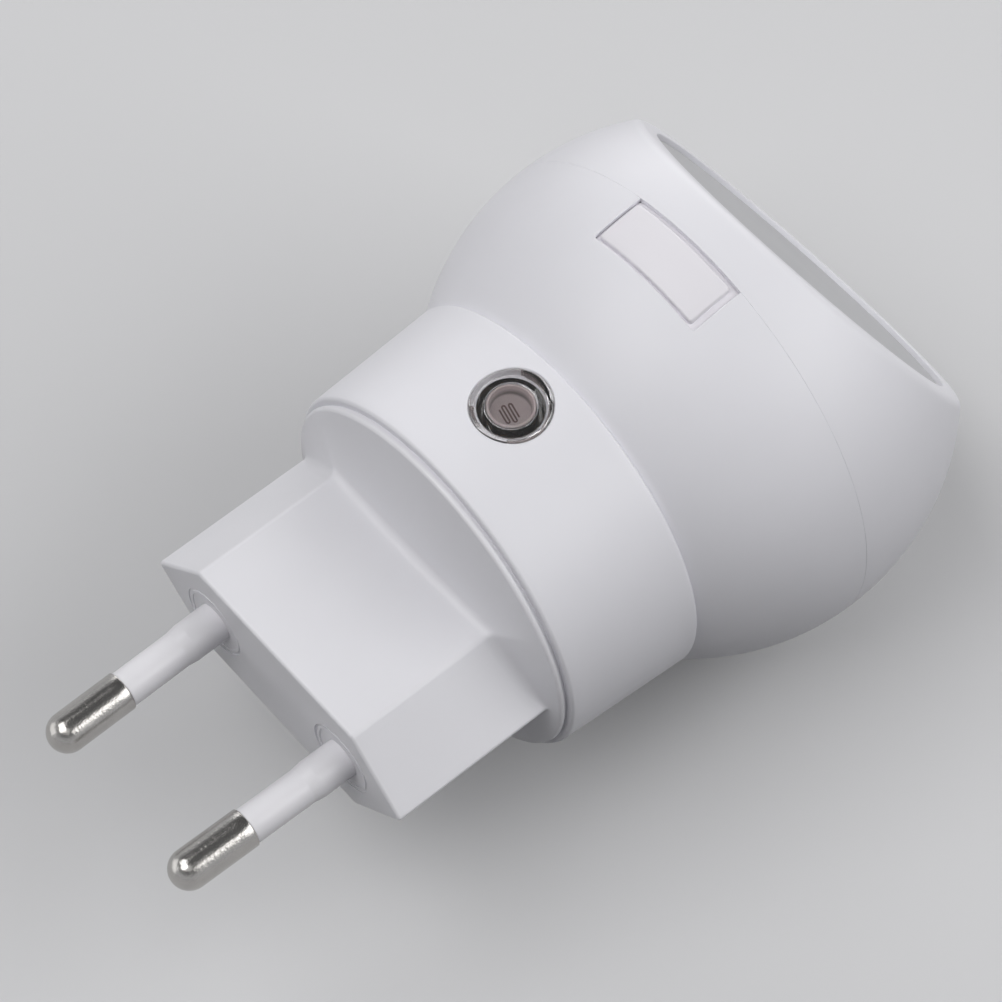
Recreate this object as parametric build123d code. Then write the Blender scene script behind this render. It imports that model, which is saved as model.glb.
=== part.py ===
from build123d import *
import os
from math import asin, cos, degrees, radians, sin, sqrt, tan

os.makedirs("parts", exist_ok=True)

# Plug-in night light with a tilted round light face, a light sensor and a push button.
# Frame: the origin is the centre of the plug's engagement face. +Y points into the wall,
# along the pins, +Z to the side with the sensor and the button, and X across the two pins.
# All lengths are millimetres.

# ---------------------------------------------------------------- driving dimensions
# Plug: flat two-pin profile of EN 50075
body_width = 35.5
body_flat = 22.1
body_thick = 13.6
body_depth = 18.1
body_sweep_radius = 4.0
body_ridge_radius = 0.9
body_face_radius = 0.35
pin_diameter = 4.0
pin_length = 19.3
pin_spacing_at_face = 18.6
pin_spacing_at_tip = 18.0
pin_shank_diameter = 3.1
sleeve_length = 10.0
sleeve_diameter = 3.66
sleeve_root_diameter = 3.96
sleeve_root_length = 3.9
sleeve_embedded = 3.0
pin_ring_diameter = 7.7
pin_ring_depth = 0.15
moulded_gap = 0.02
overcut = 1.0
tiny = 0.01

# Flange and spigot of the plug insert
flange_step = 0.65
flange_thick = 0.5
flange_edge_radius = 0.18
shadow_gap = 0.35
shadow_gap_depth = 0.55
collar_end_wall = 1.8
spigot_wall = 1.65
spigot_length = 5.0
insert_floor = 2.0
snap_bead_height = 0.4
snap_bead_width = 0.8
spigot_slot_width = 2.0
bead_clearance = 0.1
spigot_end_gap = 0.6
key_clearance = 0.1
key_end_gap = 0.5
key_root = 0.5
key_from_collar_end = 2.4
core_width = 11.0
core_height = 8.6
core_face_wall = 3.0

# Collar
collar_near_radius = 19.65
collar_length = 14.75
collar_draft = 3.25
collar_edge_radius = 0.4
collar_web = 1.2
neck_overlap = 1.0
shell_wall = 1.8
spigot_clearance = 0.05

# Ball and light face
ball_radius = 26.2
neck_step = 0.55
face_tilt = 31.0
face_distance_share = 0.626
face_rim_width = 2.33
face_rim_radius = 1.5
lens_recess = 0.5
lens_thick = 1.5
lens_gap = 0.08
lens_edge_radius = 0.25
lens_skirt_inset = 1.4
lens_skirt_wall = 0.9
ledge_thick = 1.5
cup_wall = 1.4
cup_lip = 1.3
cup_lip_thick = 0.8
cup_root = 0.5
parting_from_centre = 1.1
parting_bevel = 0.1
tongue_length = 1.6
tongue_thick = 0.85
tongue_root = 1.0
tongue_gap = 0.05

# Button and its switch
opening_length = 13.5
opening_width = 5.6
button_length = 12.4
button_width = 4.75
button_offset_x = 0.2
button_offset_y = 0.12
button_edge_radius = 0.3
button_lip = 1.3
button_lip_thick = 1.0
button_lip_gap = 0.15
opening_wall = 0.55
opening_pocket_gap = 0.25
button_travel = 0.9
tongue_relief = 2.0
stem_radius = 1.7
foot_radius = 2.9
foot_thick = 0.8
switch_side = 8.0
switch_height = 6.0
switch_chamfer = 0.4
plunger_radius = 1.5
plunger_height = 3.5
plunger_depth_inside = 1.6
plunger_clearance = 0.08
plunger_floor_gap = 0.5
spring_wire = 0.4
spring_mean_radius = 2.35
spring_turns = 3.5
spring_end_gap = 0.05

# Light sensor
sensor_from_collar_end = 9.35
window_radius = 3.88
window_flange_thick = 1.1
window_proud = 0.12
window_edge_radius = 0.2
window_barrel_radius = 3.4
window_barrel_wall = 0.6
window_barrel_length = 3.6
window_gap = 0.05
cell_radius = 2.45
cell_thick = 1.9
cell_below_window = 0.35
cell_track_width = 0.22
cell_track_height = 0.08
cell_track_lines = 6
cell_track_pitch = 0.55
cell_track_margin = 0.3
cell_track_fill = 0.82
cell_track_turn = 30.0
cell_lead_spacing = 3.4
cell_lead_radius = 0.25

# Driver board and what it carries
board_top = 8.0
board_thick = 1.6
board_width = 26.0
board_corner = 1.0
board_from_flange = 6.1
board_past_centre = 0.5
rail_thick = 1.2
rail_reach = 1.2
rail_clearance = 0.05
rail_from_flange = 7.9
rail_before_centre = 3.7
film_capacitor_width = 15.0
film_capacitor_depth = 6.0
film_capacitor_height = 11.0
film_capacitor_x = -3.0
film_capacitor_along = 17.3
film_capacitor_edge = 0.6
electrolytic_radius = 4.0
electrolytic_length = 10.5
electrolytic_x = -4.5
electrolytic_along = 8.3
electrolytic_edge = 0.4
crimp_from_seal = 1.8
crimp_radius = 0.5
crimp_depth = 0.25
rectifier_width = 4.7
rectifier_depth = 4.0
rectifier_height = 2.5
rectifier_x = 6.0
rectifier_along = 7.3
rectifier_chamfer = 0.3
resistor_radius = 1.15
resistor_length = 6.3
resistor_edge = 0.35
resistor_stand_off = 0.3
resistor_lead_spacing = 10.0
resistor_lead_radius = 0.28
resistor_x = -2.0
resistor_from_switch = 4.28
resistor_pitch = 3.6
resistor_count = 2
transistor_radius = 2.3
transistor_flat = 1.3
transistor_height = 4.6
transistor_stand_off = 1.2
transistor_lead_radius = 0.22
transistor_lead_pitch = 1.27
transistor_x = 8.4
transistor_from_switch = 6.08
strip_width = 4.0
strip_thick = 0.5
strip_foot = 6.5
strip_tail = 2.6
strip_bend_radius = 0.6
strip_gap = 0.05
rivet_radius = 1.2
rivet_head_radius = 1.9
rivet_head_thick = 0.45

# Light source
led_board_thick = 1.2
led_board_gap = 0.15
led_count = 6
led_ring_inset = 8.6
led_side = 5.0
led_height = 1.6
led_corner = 0.5
led_to_lens_gap = 0.9
led_window_radius = 1.9
led_window_depth = 0.4
reflector_thick = 0.3
reflector_led_gap = 0.15
reflector_edge_gap = 0.2
link_wire_radius = 0.4
link_wire_spacing = 12.0
link_wire_rise = 1.2
link_from_board_end = 1.4

# ---------------------------------------------------------------- sizes that follow
flange_y = -body_depth
flange_radius = collar_near_radius - flange_step
spigot_radius = collar_near_radius - collar_end_wall
collar_near_y = flange_y - flange_thick - shadow_gap
collar_far_y = collar_near_y - collar_length
collar_slope = tan(radians(collar_draft))
collar_far_radius = collar_near_radius + collar_length * collar_slope
neck_radius = collar_far_radius - neck_step
ball_y = collar_far_y - sqrt(ball_radius**2 - neck_radius**2)
parting_y = ball_y + parting_from_centre
face_distance = ball_radius * face_distance_share
lens_radius = sqrt(ball_radius**2 - face_distance**2) - face_rim_width
ball_inner_radius = ball_radius - shell_wall
spigot_end_y = flange_y - flange_thick - spigot_length
collar_bore_radius = spigot_radius + spigot_clearance
pin_tilt = degrees(asin((pin_spacing_at_face - pin_spacing_at_tip) / 2 / pin_length))
button_y = parting_y + opening_width / 2 + button_offset_y
opening_y = parting_y + opening_width / 2
board_under = board_top - board_thick
board_near_y = flange_y - board_from_flange
board_far_y = ball_y - board_past_centre
switch_near_y = button_y + switch_side / 2
switch_top = board_top + switch_height
foot_bottom = switch_top + plunger_height
seat_level = face_distance - lens_recess - lens_thick
ledge_back = seat_level - ledge_thick
skirt_radius = lens_radius - lens_skirt_inset
led_ring_radius = lens_radius - led_ring_inset
cup_bore_radius = skirt_radius + lens_gap
led_space = led_height + led_to_lens_gap
led_board_front = seat_level - led_space
led_board_back = led_board_front - led_board_thick
sensor_y = collar_near_y - sensor_from_collar_end
sensor_wall_radius = collar_near_radius + (collar_near_y - sensor_y) * collar_slope
cell_top = sensor_wall_radius + window_proud - window_flange_thick - cell_below_window
far = 120.0

face_plane = Plane(
    origin=(0, ball_y, 0),
    x_dir=(1, 0, 0),
    z_dir=(0, -cos(radians(face_tilt)), sin(radians(face_tilt))),
)


# ---------------------------------------------------------------- helpers
def revolved(points):
    """Solid of revolution about the plug axis, from corners given as (radius, y)."""
    return revolve(make_face(Polyline(*points, close=True)), axis=Axis.Y)


def block(x_range, y_range, z_range):
    """Box between two x, two y and two z values."""
    size = [max(pair) - min(pair) for pair in (x_range, y_range, z_range)]
    centre = [sum(pair) / 2 for pair in (x_range, y_range, z_range)]
    return Pos(*centre) * Box(*size)


def upright(radius, low, high):
    """Cylinder along +Z between two heights."""
    return Pos(0, 0, low) * Cylinder(radius, high - low, align=(Align.CENTER, Align.CENTER, Align.MIN))


def along_y(radius, start, end):
    """Cylinder along Y between two y values."""
    return revolved([(0, start), (radius, start), (radius, end), (0, end)])


def in_face(shape):
    """Place a shape drawn about the ball's centre, with +Z out of the light face."""
    return face_plane.location * shape


def wall_side():
    """Half space on the wall side of the parting plane."""
    return block((-far, far), (parting_y, far), (-far, far))


def room_side():
    """Half space on the room side of the parting plane."""
    return block((-far, far), (-far, parting_y), (-far, far))


def behind(level):
    """Half space behind a plane parallel to the light face."""
    return in_face(block((-far, far), (-far, far), (-far, level)))


def pin_place(side):
    """Location of a pin: side is 1 for +X and -1 for -X. The two pins lean together."""
    return Pos(side * pin_spacing_at_face / 2, 0, 0) * Rot(0, 0, side * pin_tilt)


def circles_at(shape, y, radius):
    """Circular edges of a shape about the plug axis, at one y and near one radius."""
    return [
        edge
        for edge in shape.edges().filter_by(GeomType.CIRCLE)
        if abs(edge.center().Y - y) < tiny and abs(edge.radius - radius) < tiny
    ]


# ---------------------------------------------------------------- plug
def plug_core_section():
    """Rhombus whose four sides carry the plug body's sloping faces."""
    slope = (body_thick / 2) / (body_width / 2 - body_flat / 2)
    apex = slope * body_width / 2
    corners = [(body_width / 2, 0), (0, apex), (-body_width / 2, 0), (0, -apex)]
    return make_face(Polyline(*corners, close=True))


def plug_side_section():
    """Side view of the plug body: flats that sweep up into the flange."""
    half = body_thick / 2
    sweep = body_sweep_radius
    start = flange_y + sweep
    upper = [
        Line((0, -half), (0, half)),
        Line((0, half), (start, half)),
        RadiusArc((start, half), (flange_y, half + sweep), sweep),
        Line((flange_y, half + sweep), (flange_y, -half - sweep)),
        RadiusArc((flange_y, -half - sweep), (start, -half), sweep),
        Line((start, -half), (0, -half)),
    ]
    return make_face(upper)


def plug_body():
    """Six-sided plug body, from the engagement face to the flange."""
    prism = extrude(Plane.XZ * plug_core_section(), amount=body_depth)
    side = extrude(Plane.YZ * plug_side_section(), amount=body_width / 2, both=True)
    body = prism & side
    ridges = [
        edge
        for edge in body.edges().filter_by(Axis.Y)
        if abs(abs(edge.center().X) - body_flat / 2) < tiny
    ]
    body = fillet(ridges, body_ridge_radius)
    rim = body.edges().filter_by(lambda edge: abs(edge.center().Y) < tiny)
    return fillet(rim, body_face_radius)


def plug_insert():
    """Plug body, flange and snap-in spigot in one moulding."""
    flange = along_y(flange_radius, flange_y - flange_thick, flange_y)
    flange = fillet(circles_at(flange, flange_y, flange_radius), flange_edge_radius)
    shoulder = along_y(flange_radius - shadow_gap_depth, collar_near_y, flange_y - flange_thick)
    floor = along_y(spigot_radius, flange_y - insert_floor, flange_y)
    inner = spigot_radius - spigot_wall
    ring = revolved([
        (inner, flange_y - insert_floor),
        (spigot_radius, flange_y - insert_floor),
        (spigot_radius, spigot_end_y + snap_bead_width),
        (spigot_radius + snap_bead_height, spigot_end_y + snap_bead_width),
        (spigot_radius, spigot_end_y),
        (inner, spigot_end_y),
    ])
    half_slot = spigot_slot_width / 2
    slots = block((-far, far), (spigot_end_y, flange_y - insert_floor), (-half_slot, half_slot))
    ring = ring - slots - Rot(0, 90, 0) * slots
    insert = plug_body() + flange + shoulder + floor + ring
    core_y = (-core_face_wall, flange_y - insert_floor)
    insert -= block((-core_width / 2, core_width / 2), core_y, (-core_height / 2, core_height / 2))
    for side in (1, -1):
        insert -= pin_place(side) * along_y(pin_shank_diameter / 2 + moulded_gap, 2 * flange_y, overcut)
        root = along_y(sleeve_root_diameter / 2 + moulded_gap, -sleeve_embedded - moulded_gap, overcut)
        insert -= pin_place(side) * root
        insert -= pin_place(side) * along_y(pin_ring_diameter / 2, -pin_ring_depth, overcut)
    return insert


def pin(side):
    """Round pin with a domed tip, a reduced shank and a riveted tail."""
    tip = pin_diameter / 2
    shank = pin_shank_diameter / 2
    floor_back = flange_y - insert_floor
    strip_back = floor_back - strip_gap - strip_thick
    outline = [
        Line((0, pin_length), (0, strip_back - rivet_head_thick)),
        Line((0, strip_back - rivet_head_thick), (rivet_head_radius, strip_back - rivet_head_thick)),
        Line((rivet_head_radius, strip_back - rivet_head_thick), (rivet_head_radius, strip_back)),
        Line((rivet_head_radius, strip_back), (rivet_radius, strip_back)),
        Line((rivet_radius, strip_back), (rivet_radius, floor_back)),
        Line((rivet_radius, floor_back), (shank, floor_back)),
        Line((shank, floor_back), (shank, sleeve_length)),
        Line((shank, sleeve_length), (tip, sleeve_length)),
        Line((tip, sleeve_length), (tip, pin_length - tip)),
        RadiusArc((tip, pin_length - tip), (0, pin_length), -tip),
    ]
    return pin_place(side) * revolve(make_face(outline), axis=Axis.Y)


def sleeve(side):
    """Insulating sleeve on the pin, thicker at its root, where the body holds it."""
    bore = pin_shank_diameter / 2 + moulded_gap
    root = sleeve_root_diameter / 2
    body = sleeve_diameter / 2
    tube = revolved([
        (bore, -sleeve_embedded),
        (root, -sleeve_embedded),
        (root, sleeve_root_length - (root - body)),
        (body, sleeve_root_length),
        (body, sleeve_length - moulded_gap),
        (bore, sleeve_length - moulded_gap),
    ])
    return pin_place(side) * tube


def contact_strip(side):
    """Bent brass strip riveted on a pin's tail, with a foot under the driver board."""
    front = flange_y - insert_floor - strip_gap
    back = front - strip_thick
    top = board_under - moulded_gap
    corners = [
        (front, -strip_tail),
        (front, top),
        (front - strip_foot, top),
        (front - strip_foot, top - strip_thick),
        (back, top - strip_thick),
        (back, -strip_tail),
    ]
    section = make_face(Polyline(*corners, close=True))
    outer = section.vertices().sort_by_distance((front, top))[0]
    section = fillet(outer, strip_bend_radius + strip_thick)
    strip = extrude(Plane.YZ * section, amount=strip_width / 2, both=True)
    inner = [
        edge
        for edge in strip.edges().filter_by(Axis.X)
        if abs(edge.center().Y - back) < tiny and abs(edge.center().Z - top + strip_thick) < tiny
    ]
    strip = fillet(inner, strip_bend_radius)
    strip -= along_y(rivet_radius + moulded_gap, back - overcut, front + overcut)
    return pin_place(side) * strip


# ---------------------------------------------------------------- shell
def collar_solid(extra=0):
    """Solid cone of the collar, grown outwards by extra."""
    return revolved([
        (0, collar_near_y),
        (collar_near_radius + extra, collar_near_y),
        (collar_far_radius + extra, collar_far_y),
        (0, collar_far_y),
    ])


def shell_cavity():
    """Space inside the rear shell: the spigot's seat, the drafted collar and the ball."""
    seat_end = spigot_end_y - spigot_end_gap
    bore = collar_near_radius - shell_wall
    bore_end_y = collar_far_y + collar_web
    bore_end = bore + (collar_near_y - bore_end_y) * collar_slope
    seat = along_y(collar_bore_radius, seat_end, collar_near_y + overcut)
    bead_groove = along_y(
        collar_bore_radius + snap_bead_height + bead_clearance,
        spigot_end_y - bead_clearance,
        spigot_end_y + snap_bead_width + bead_clearance,
    )
    drafted = revolved([(0, seat_end), (collar_bore_radius, seat_end), (bore_end, bore_end_y), (0, bore_end_y)])
    ball = Pos(0, ball_y, 0) * Sphere(ball_inner_radius)
    return seat + bead_groove + drafted + ball


def board_rails():
    """Four ribs that grip the driver board's two long edges."""
    edge = board_width / 2
    inner = edge - rail_reach
    y_range = (ball_y + rail_before_centre, flange_y - rail_from_flange)
    low = (board_under - rail_clearance - rail_thick, board_under - rail_clearance)
    high = (board_top + rail_clearance, board_top + rail_clearance + rail_thick)
    stop = (board_under - rail_clearance, board_top + rail_clearance)
    rails = block((inner, far), y_range, low) + block((inner, far), y_range, high)
    rails += block((edge + 2 * rail_clearance, far), y_range, stop)
    return rails + mirror(rails, about=Plane.YZ)


def shell_key():
    """Key in the collar that stops the plug insert from turning, in the spigot's lower slot."""
    half = spigot_slot_width / 2 - key_clearance
    y_range = (spigot_end_y + key_end_gap, collar_near_y - key_from_collar_end)
    return block((-half, half), y_range, (-collar_bore_radius - key_root, -spigot_radius + spigot_wall))


def opening_block(low, high):
    """Rectangular hole for the button between two heights."""
    half = opening_length / 2
    return block((-half, half), (parting_y, parting_y + opening_width), (low, high))


def button_lip_block(extra=0):
    """Upright block of the button's lip, grown sideways by extra."""
    half_x = opening_length / 2 + button_lip + extra
    half_y = opening_width / 2 + button_lip + extra
    return block((-half_x, half_x), (opening_y - half_y, opening_y + half_y), (0, far))


def opening_pocket():
    """Pocket inside the two shells that leaves a thin wall over the button's lip."""
    thinned = Pos(0, ball_y, 0) * Sphere(ball_radius - opening_wall)
    return button_lip_block(opening_pocket_gap) & thinned & behind(ledge_back)


def tongue_region(gap):
    """Ring that the joint between the two shells occupies, left out under the button."""
    outer = ball_inner_radius + tongue_thick + gap
    inner = ball_inner_radius - tongue_root
    ring = revolved([
        (inner, parting_y),
        (outer, parting_y),
        (outer, parting_y + tongue_length + gap),
        (inner, parting_y + tongue_length + gap),
    ])
    half = opening_length / 2 + tongue_relief - gap
    return ring - block((-half, half), (parting_y - overcut, parting_y + 2 * tongue_length), (0, far))


def parting_groove():
    """Fine V-groove round the ball where the two shells meet."""
    radius = sqrt(ball_radius**2 - (parting_y - ball_y) ** 2)
    return revolved([
        (radius - parting_bevel, parting_y),
        (radius + overcut, parting_y + parting_bevel + overcut),
        (radius + overcut, parting_y - parting_bevel - overcut),
    ])


def rear_shell():
    """Collar and rear part of the ball, with the holes for the sensor and the button."""
    collar = collar_solid()
    collar = fillet(circles_at(collar, collar_near_y, collar_near_radius), collar_edge_radius)
    collar = fillet(circles_at(collar, collar_far_y, collar_far_radius), collar_edge_radius)
    ball = (Pos(0, ball_y, 0) * Sphere(ball_radius)) & wall_side()
    ball -= block((-far, far), (collar_far_y + neck_overlap, far), (-far, far))
    outside = collar + ball
    cavity = shell_cavity()
    shell = outside - parting_groove() - cavity
    shell += board_rails() & cavity & wall_side()
    shell += shell_key() & collar
    shell -= tongue_region(tongue_gap)
    shell -= opening_block(0, far) + opening_pocket()
    bore = Pos(0, sensor_y, 0)
    shell -= bore * upright(window_barrel_radius + window_gap, board_top, far)
    flange_seat = sensor_wall_radius + window_proud - window_flange_thick - window_gap
    shell -= bore * upright(window_radius + window_gap, flange_seat, far)
    return shell


def front_bezel():
    """Front part of the ball, with the tilted face, the lens pocket and the LED cup."""
    ball = (Pos(0, ball_y, 0) * Sphere(ball_radius)) & room_side() & behind(face_distance)
    rim_radius = sqrt(ball_radius**2 - face_distance**2)
    rim = [
        edge
        for edge in ball.edges().filter_by(GeomType.CIRCLE)
        if abs(edge.radius - rim_radius) < tiny
    ]
    ball = fillet(rim, face_rim_radius)
    ball -= parting_groove()
    hollow = (Pos(0, ball_y, 0) * Sphere(ball_inner_radius)) & behind(ledge_back)
    cup_radius = cup_bore_radius + cup_wall
    cup = in_face(upright(cup_radius, led_board_back - cup_lip_thick, ledge_back + cup_root))
    tongue = tongue_region(0) - Pos(0, ball_y, 0) * Sphere(ball_inner_radius)
    bezel = ball - hollow - opening_pocket() + cup + tongue
    bezel -= in_face(upright(lens_radius + lens_gap, seat_level, far))
    bezel -= in_face(upright(cup_bore_radius, led_board_back, far))
    bezel -= in_face(upright(cup_bore_radius - cup_lip, 0, far))
    return bezel


def diffuser_lens():
    """Milky disc with a skirt that holds the LED board on its seat."""
    disc = upright(lens_radius, seat_level, seat_level + lens_thick)
    front = disc.edges().filter_by(GeomType.CIRCLE).sort_by(Axis.Z)[-1]
    disc = fillet(front, lens_edge_radius)
    skirt = upright(skirt_radius, led_board_front, seat_level)
    skirt -= upright(skirt_radius - lens_skirt_wall, led_board_front, seat_level)
    return in_face(disc + skirt)


# ---------------------------------------------------------------- button and switch
def switch_button():
    """Rectangular cap flush with the ball, with a retaining lip, a stem and a foot."""
    centre = Pos(button_offset_x, button_y, 0)
    ball = Pos(0, ball_y, 0) * Sphere(ball_radius)
    cap = centre * block(
        (-button_length / 2, button_length / 2), (-button_width / 2, button_width / 2), (0, far)
    )
    cap = cap & ball
    top = cap.faces().sort_by(Axis.Z)[-1]
    cap = fillet(top.edges(), button_edge_radius)
    lip_outer = ball_radius - opening_wall - button_lip_gap
    lip = button_lip_block() & (Pos(0, ball_y, 0) * Sphere(lip_outer)) & behind(ledge_back - button_lip_gap)
    below_lip = Pos(0, ball_y, 0) * Sphere(lip_outer - button_lip_thick)
    stem = centre * upright(stem_radius, foot_bottom, ball_inner_radius)
    foot = centre * upright(foot_radius, foot_bottom, foot_bottom + foot_thick)
    return (cap + lip - below_lip) + stem + foot


def switch_plunger():
    """Plunger under the button's foot, running in the switch body."""
    low = switch_top - plunger_depth_inside
    return Pos(button_offset_x, button_y, 0) * upright(plunger_radius, low, foot_bottom)


def switch_body():
    """Square push switch on the driver board, with a bore for its plunger."""
    half = switch_side / 2
    body = block((-half, half), (-half, half), (board_top, switch_top))
    body = chamfer(body.edges().filter_by(Axis.Z), switch_chamfer)
    bore_floor = switch_top - plunger_depth_inside - button_travel - plunger_floor_gap
    body -= upright(plunger_radius + plunger_clearance, bore_floor, switch_top + overcut)
    return Pos(button_offset_x, button_y, 0) * body


def button_spring():
    """Coil spring around the plunger, from the switch body to the button's foot."""
    wire = spring_wire / 2
    low = switch_top + wire + spring_end_gap
    height = plunger_height - 2 * wire - 2 * spring_end_gap
    path = Helix(pitch=height / spring_turns, height=height, radius=spring_mean_radius)
    section = Plane(origin=path @ 0, z_dir=path % 0) * Circle(wire)
    return Pos(button_offset_x, button_y, low) * sweep(section, path=path)


# ---------------------------------------------------------------- light sensor
def sensor_window():
    """Clear window that follows the collar, with a barrel around the light cell."""
    place = Pos(0, sensor_y, 0)
    top = sensor_wall_radius + window_proud
    flange = place * upright(window_radius, top - window_flange_thick, far)
    flange = flange & collar_solid(window_proud)
    flange = fillet(flange.faces().sort_by(Axis.Z)[-1].edges(), window_edge_radius)
    under = top - window_flange_thick
    barrel = upright(window_barrel_radius, under - window_barrel_length, under)
    barrel -= upright(window_barrel_radius - window_barrel_wall, 0, far)
    return flange + place * barrel


def photocell():
    """Round light cell behind the window."""
    return Pos(0, sensor_y, 0) * upright(cell_radius, cell_top - cell_thick, cell_top)


def photocell_track():
    """Meandering track on the light cell's face, as one flat ribbon."""
    half = cell_track_width / 2
    low = cell_top
    high = cell_top + cell_track_height
    first = -(cell_track_lines - 1) / 2 * cell_track_pitch
    reach = cell_radius - cell_track_margin
    track = None
    for index in range(cell_track_lines):
        across = first + index * cell_track_pitch
        length = cell_track_fill * sqrt(reach**2 - across**2)
        line = block((-length, length), (across - half, across + half), (low, high))
        track = line if track is None else track + line
        if index + 1 < cell_track_lines:
            following = across + cell_track_pitch
            shorter = min(length, cell_track_fill * sqrt(reach**2 - following**2))
            turn = shorter if index % 2 else -shorter
            track += block((turn - half, turn + half), (across - half, following + half), (low, high))
    return Pos(0, sensor_y, 0) * Rot(0, 0, cell_track_turn) * track


def photocell_leads():
    """Two straight leads from the light cell down to the driver board."""
    leads = [
        Pos(side * cell_lead_spacing / 2, sensor_y, 0)
        * upright(cell_lead_radius, board_top, cell_top - cell_thick)
        for side in (1, -1)
    ]
    return Compound(children=leads)


# ---------------------------------------------------------------- driver board
def driver_board():
    """Board that slides into the shell's rails."""
    half = board_width / 2
    board = block((-half, half), (board_far_y, board_near_y), (board_under, board_top))
    return chamfer(board.edges().filter_by(Axis.Z), board_corner)


def film_capacitor():
    """Box capacitor under the board."""
    body = Box(film_capacitor_width, film_capacitor_depth, film_capacitor_height)
    body = fillet(body.edges().filter_by(Axis.Z), film_capacitor_edge)
    return Pos(film_capacitor_x, board_near_y - film_capacitor_along, board_under - film_capacitor_height / 2) * body


def electrolytic_capacitor():
    """Can capacitor under the board, with the crimp near its seal."""
    can = upright(electrolytic_radius, board_under - electrolytic_length, board_under)
    can = fillet(can.edges().filter_by(GeomType.CIRCLE), electrolytic_edge)
    crimp_ring = Torus(electrolytic_radius + crimp_radius - crimp_depth, crimp_radius)
    can -= Pos(0, 0, board_under - crimp_from_seal) * crimp_ring
    return Pos(electrolytic_x, board_near_y - electrolytic_along, 0) * can


def rectifier():
    """Bridge rectifier under the board."""
    body = Box(rectifier_width, rectifier_depth, rectifier_height)
    body = chamfer(body.edges().filter_by(Axis.Z), rectifier_chamfer)
    return Pos(rectifier_x, board_near_y - rectifier_along, board_under - rectifier_height / 2) * body


def resistor(index):
    """Axial resistor across the board, on two bent leads. Index 0 is nearest to the switch."""
    y = switch_near_y + resistor_from_switch + index * resistor_pitch
    height = board_top + resistor_radius + resistor_stand_off
    body = Rot(0, 90, 0) * Cylinder(resistor_radius, resistor_length)
    body = fillet(body.edges().filter_by(GeomType.CIRCLE), resistor_edge)
    wire = Rot(0, 90, 0) * Cylinder(resistor_lead_radius, resistor_lead_spacing)
    part = Pos(0, 0, height) * (body + wire)
    for side in (1, -1):
        part += Pos(side * resistor_lead_spacing / 2, 0, 0) * upright(resistor_lead_radius, board_top, height)
        part += Pos(side * resistor_lead_spacing / 2, 0, height) * Sphere(resistor_lead_radius)
    return Pos(resistor_x, y, 0) * part


def transistor():
    """Three-lead transistor with a flat face, standing on the board."""
    low = board_top + transistor_stand_off
    body = upright(transistor_radius, low, low + transistor_height)
    body -= block((-far, far), (transistor_flat, far), (0, far))
    for step in (-1, 0, 1):
        body += Pos(step * transistor_lead_pitch, 0, 0) * upright(transistor_lead_radius, board_top, low)
    return Pos(transistor_x, switch_near_y + transistor_from_switch, 0) * body


# ---------------------------------------------------------------- light source
def led_places():
    """Locations of the LEDs on their ring, as seen from the light face."""
    return PolarLocations(led_ring_radius, led_count)


def led_board():
    """Round LED board on the cup's lip."""
    return in_face(upright(cup_bore_radius - led_board_gap, led_board_back, led_board_front))


def led(place):
    """Square surface-mounted LED with a round window."""
    half = led_side / 2
    top = led_board_front + led_height
    body = block((-half, half), (-half, half), (led_board_front, top))
    body = chamfer(body.edges().filter_by(Axis.Z), led_corner)
    body -= upright(led_window_radius, top - led_window_depth, top + overcut)
    return in_face(place * body)


def reflector():
    """White sheet over the LED board, cut out around the LEDs."""
    radius = skirt_radius - lens_skirt_wall - reflector_edge_gap
    sheet = upright(radius, led_board_front, led_board_front + reflector_thick)
    half = led_side / 2 + reflector_led_gap
    for place in led_places():
        sheet -= place * block((-half, half), (-half, half), (0, far))
    return in_face(sheet)


def link_wire(side):
    """Bare wire from the driver board's end to the back of the LED board."""
    x = side * link_wire_spacing / 2
    start_y = board_far_y + link_from_board_end
    height = board_top + link_wire_rise
    wire = Pos(x, start_y, 0) * upright(link_wire_radius, board_top, height)
    wire += Pos(x, start_y, height) * Sphere(link_wire_radius)
    wire += Pos(x, 0, height) * along_y(link_wire_radius, start_y - ball_radius, start_y)
    return wire & behind(led_board_back - moulded_gap)


# ---------------------------------------------------------------- nodes
nodes = {
    "plug_insert": plug_insert(),
    "pin_left": pin(-1),
    "pin_right": pin(1),
    "sleeve_left": sleeve(-1),
    "sleeve_right": sleeve(1),
    "contact_strip_left": contact_strip(-1),
    "contact_strip_right": contact_strip(1),
    "rear_shell": rear_shell(),
    "front_bezel": front_bezel(),
    "diffuser_lens": diffuser_lens(),
    "switch_button": switch_button(),
    "switch_plunger": switch_plunger(),
    "switch_body": switch_body(),
    "button_spring": button_spring(),
    "sensor_window": sensor_window(),
    "photocell": photocell(),
    "photocell_track": photocell_track(),
    "photocell_leads": photocell_leads(),
    "driver_board": driver_board(),
    "film_capacitor": film_capacitor(),
    "electrolytic_capacitor": electrolytic_capacitor(),
    "rectifier": rectifier(),
    "transistor": transistor(),
    "led_board": led_board(),
    "reflector": reflector(),
    "link_wire_left": link_wire(-1),
    "link_wire_right": link_wire(1),
}
for index in range(resistor_count):
    nodes[f"resistor_{index + 1}"] = resistor(index)
for number, place in enumerate(led_places(), start=1):
    nodes[f"led_{number}"] = led(place)

for name, shape in nodes.items():
    export_step(shape, f"parts/{name}.step")
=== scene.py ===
from math import acos, asin, cos, pi, radians, sin, sqrt, tan

import bmesh
import bpy
import numpy as np
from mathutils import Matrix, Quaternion, Vector


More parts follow.
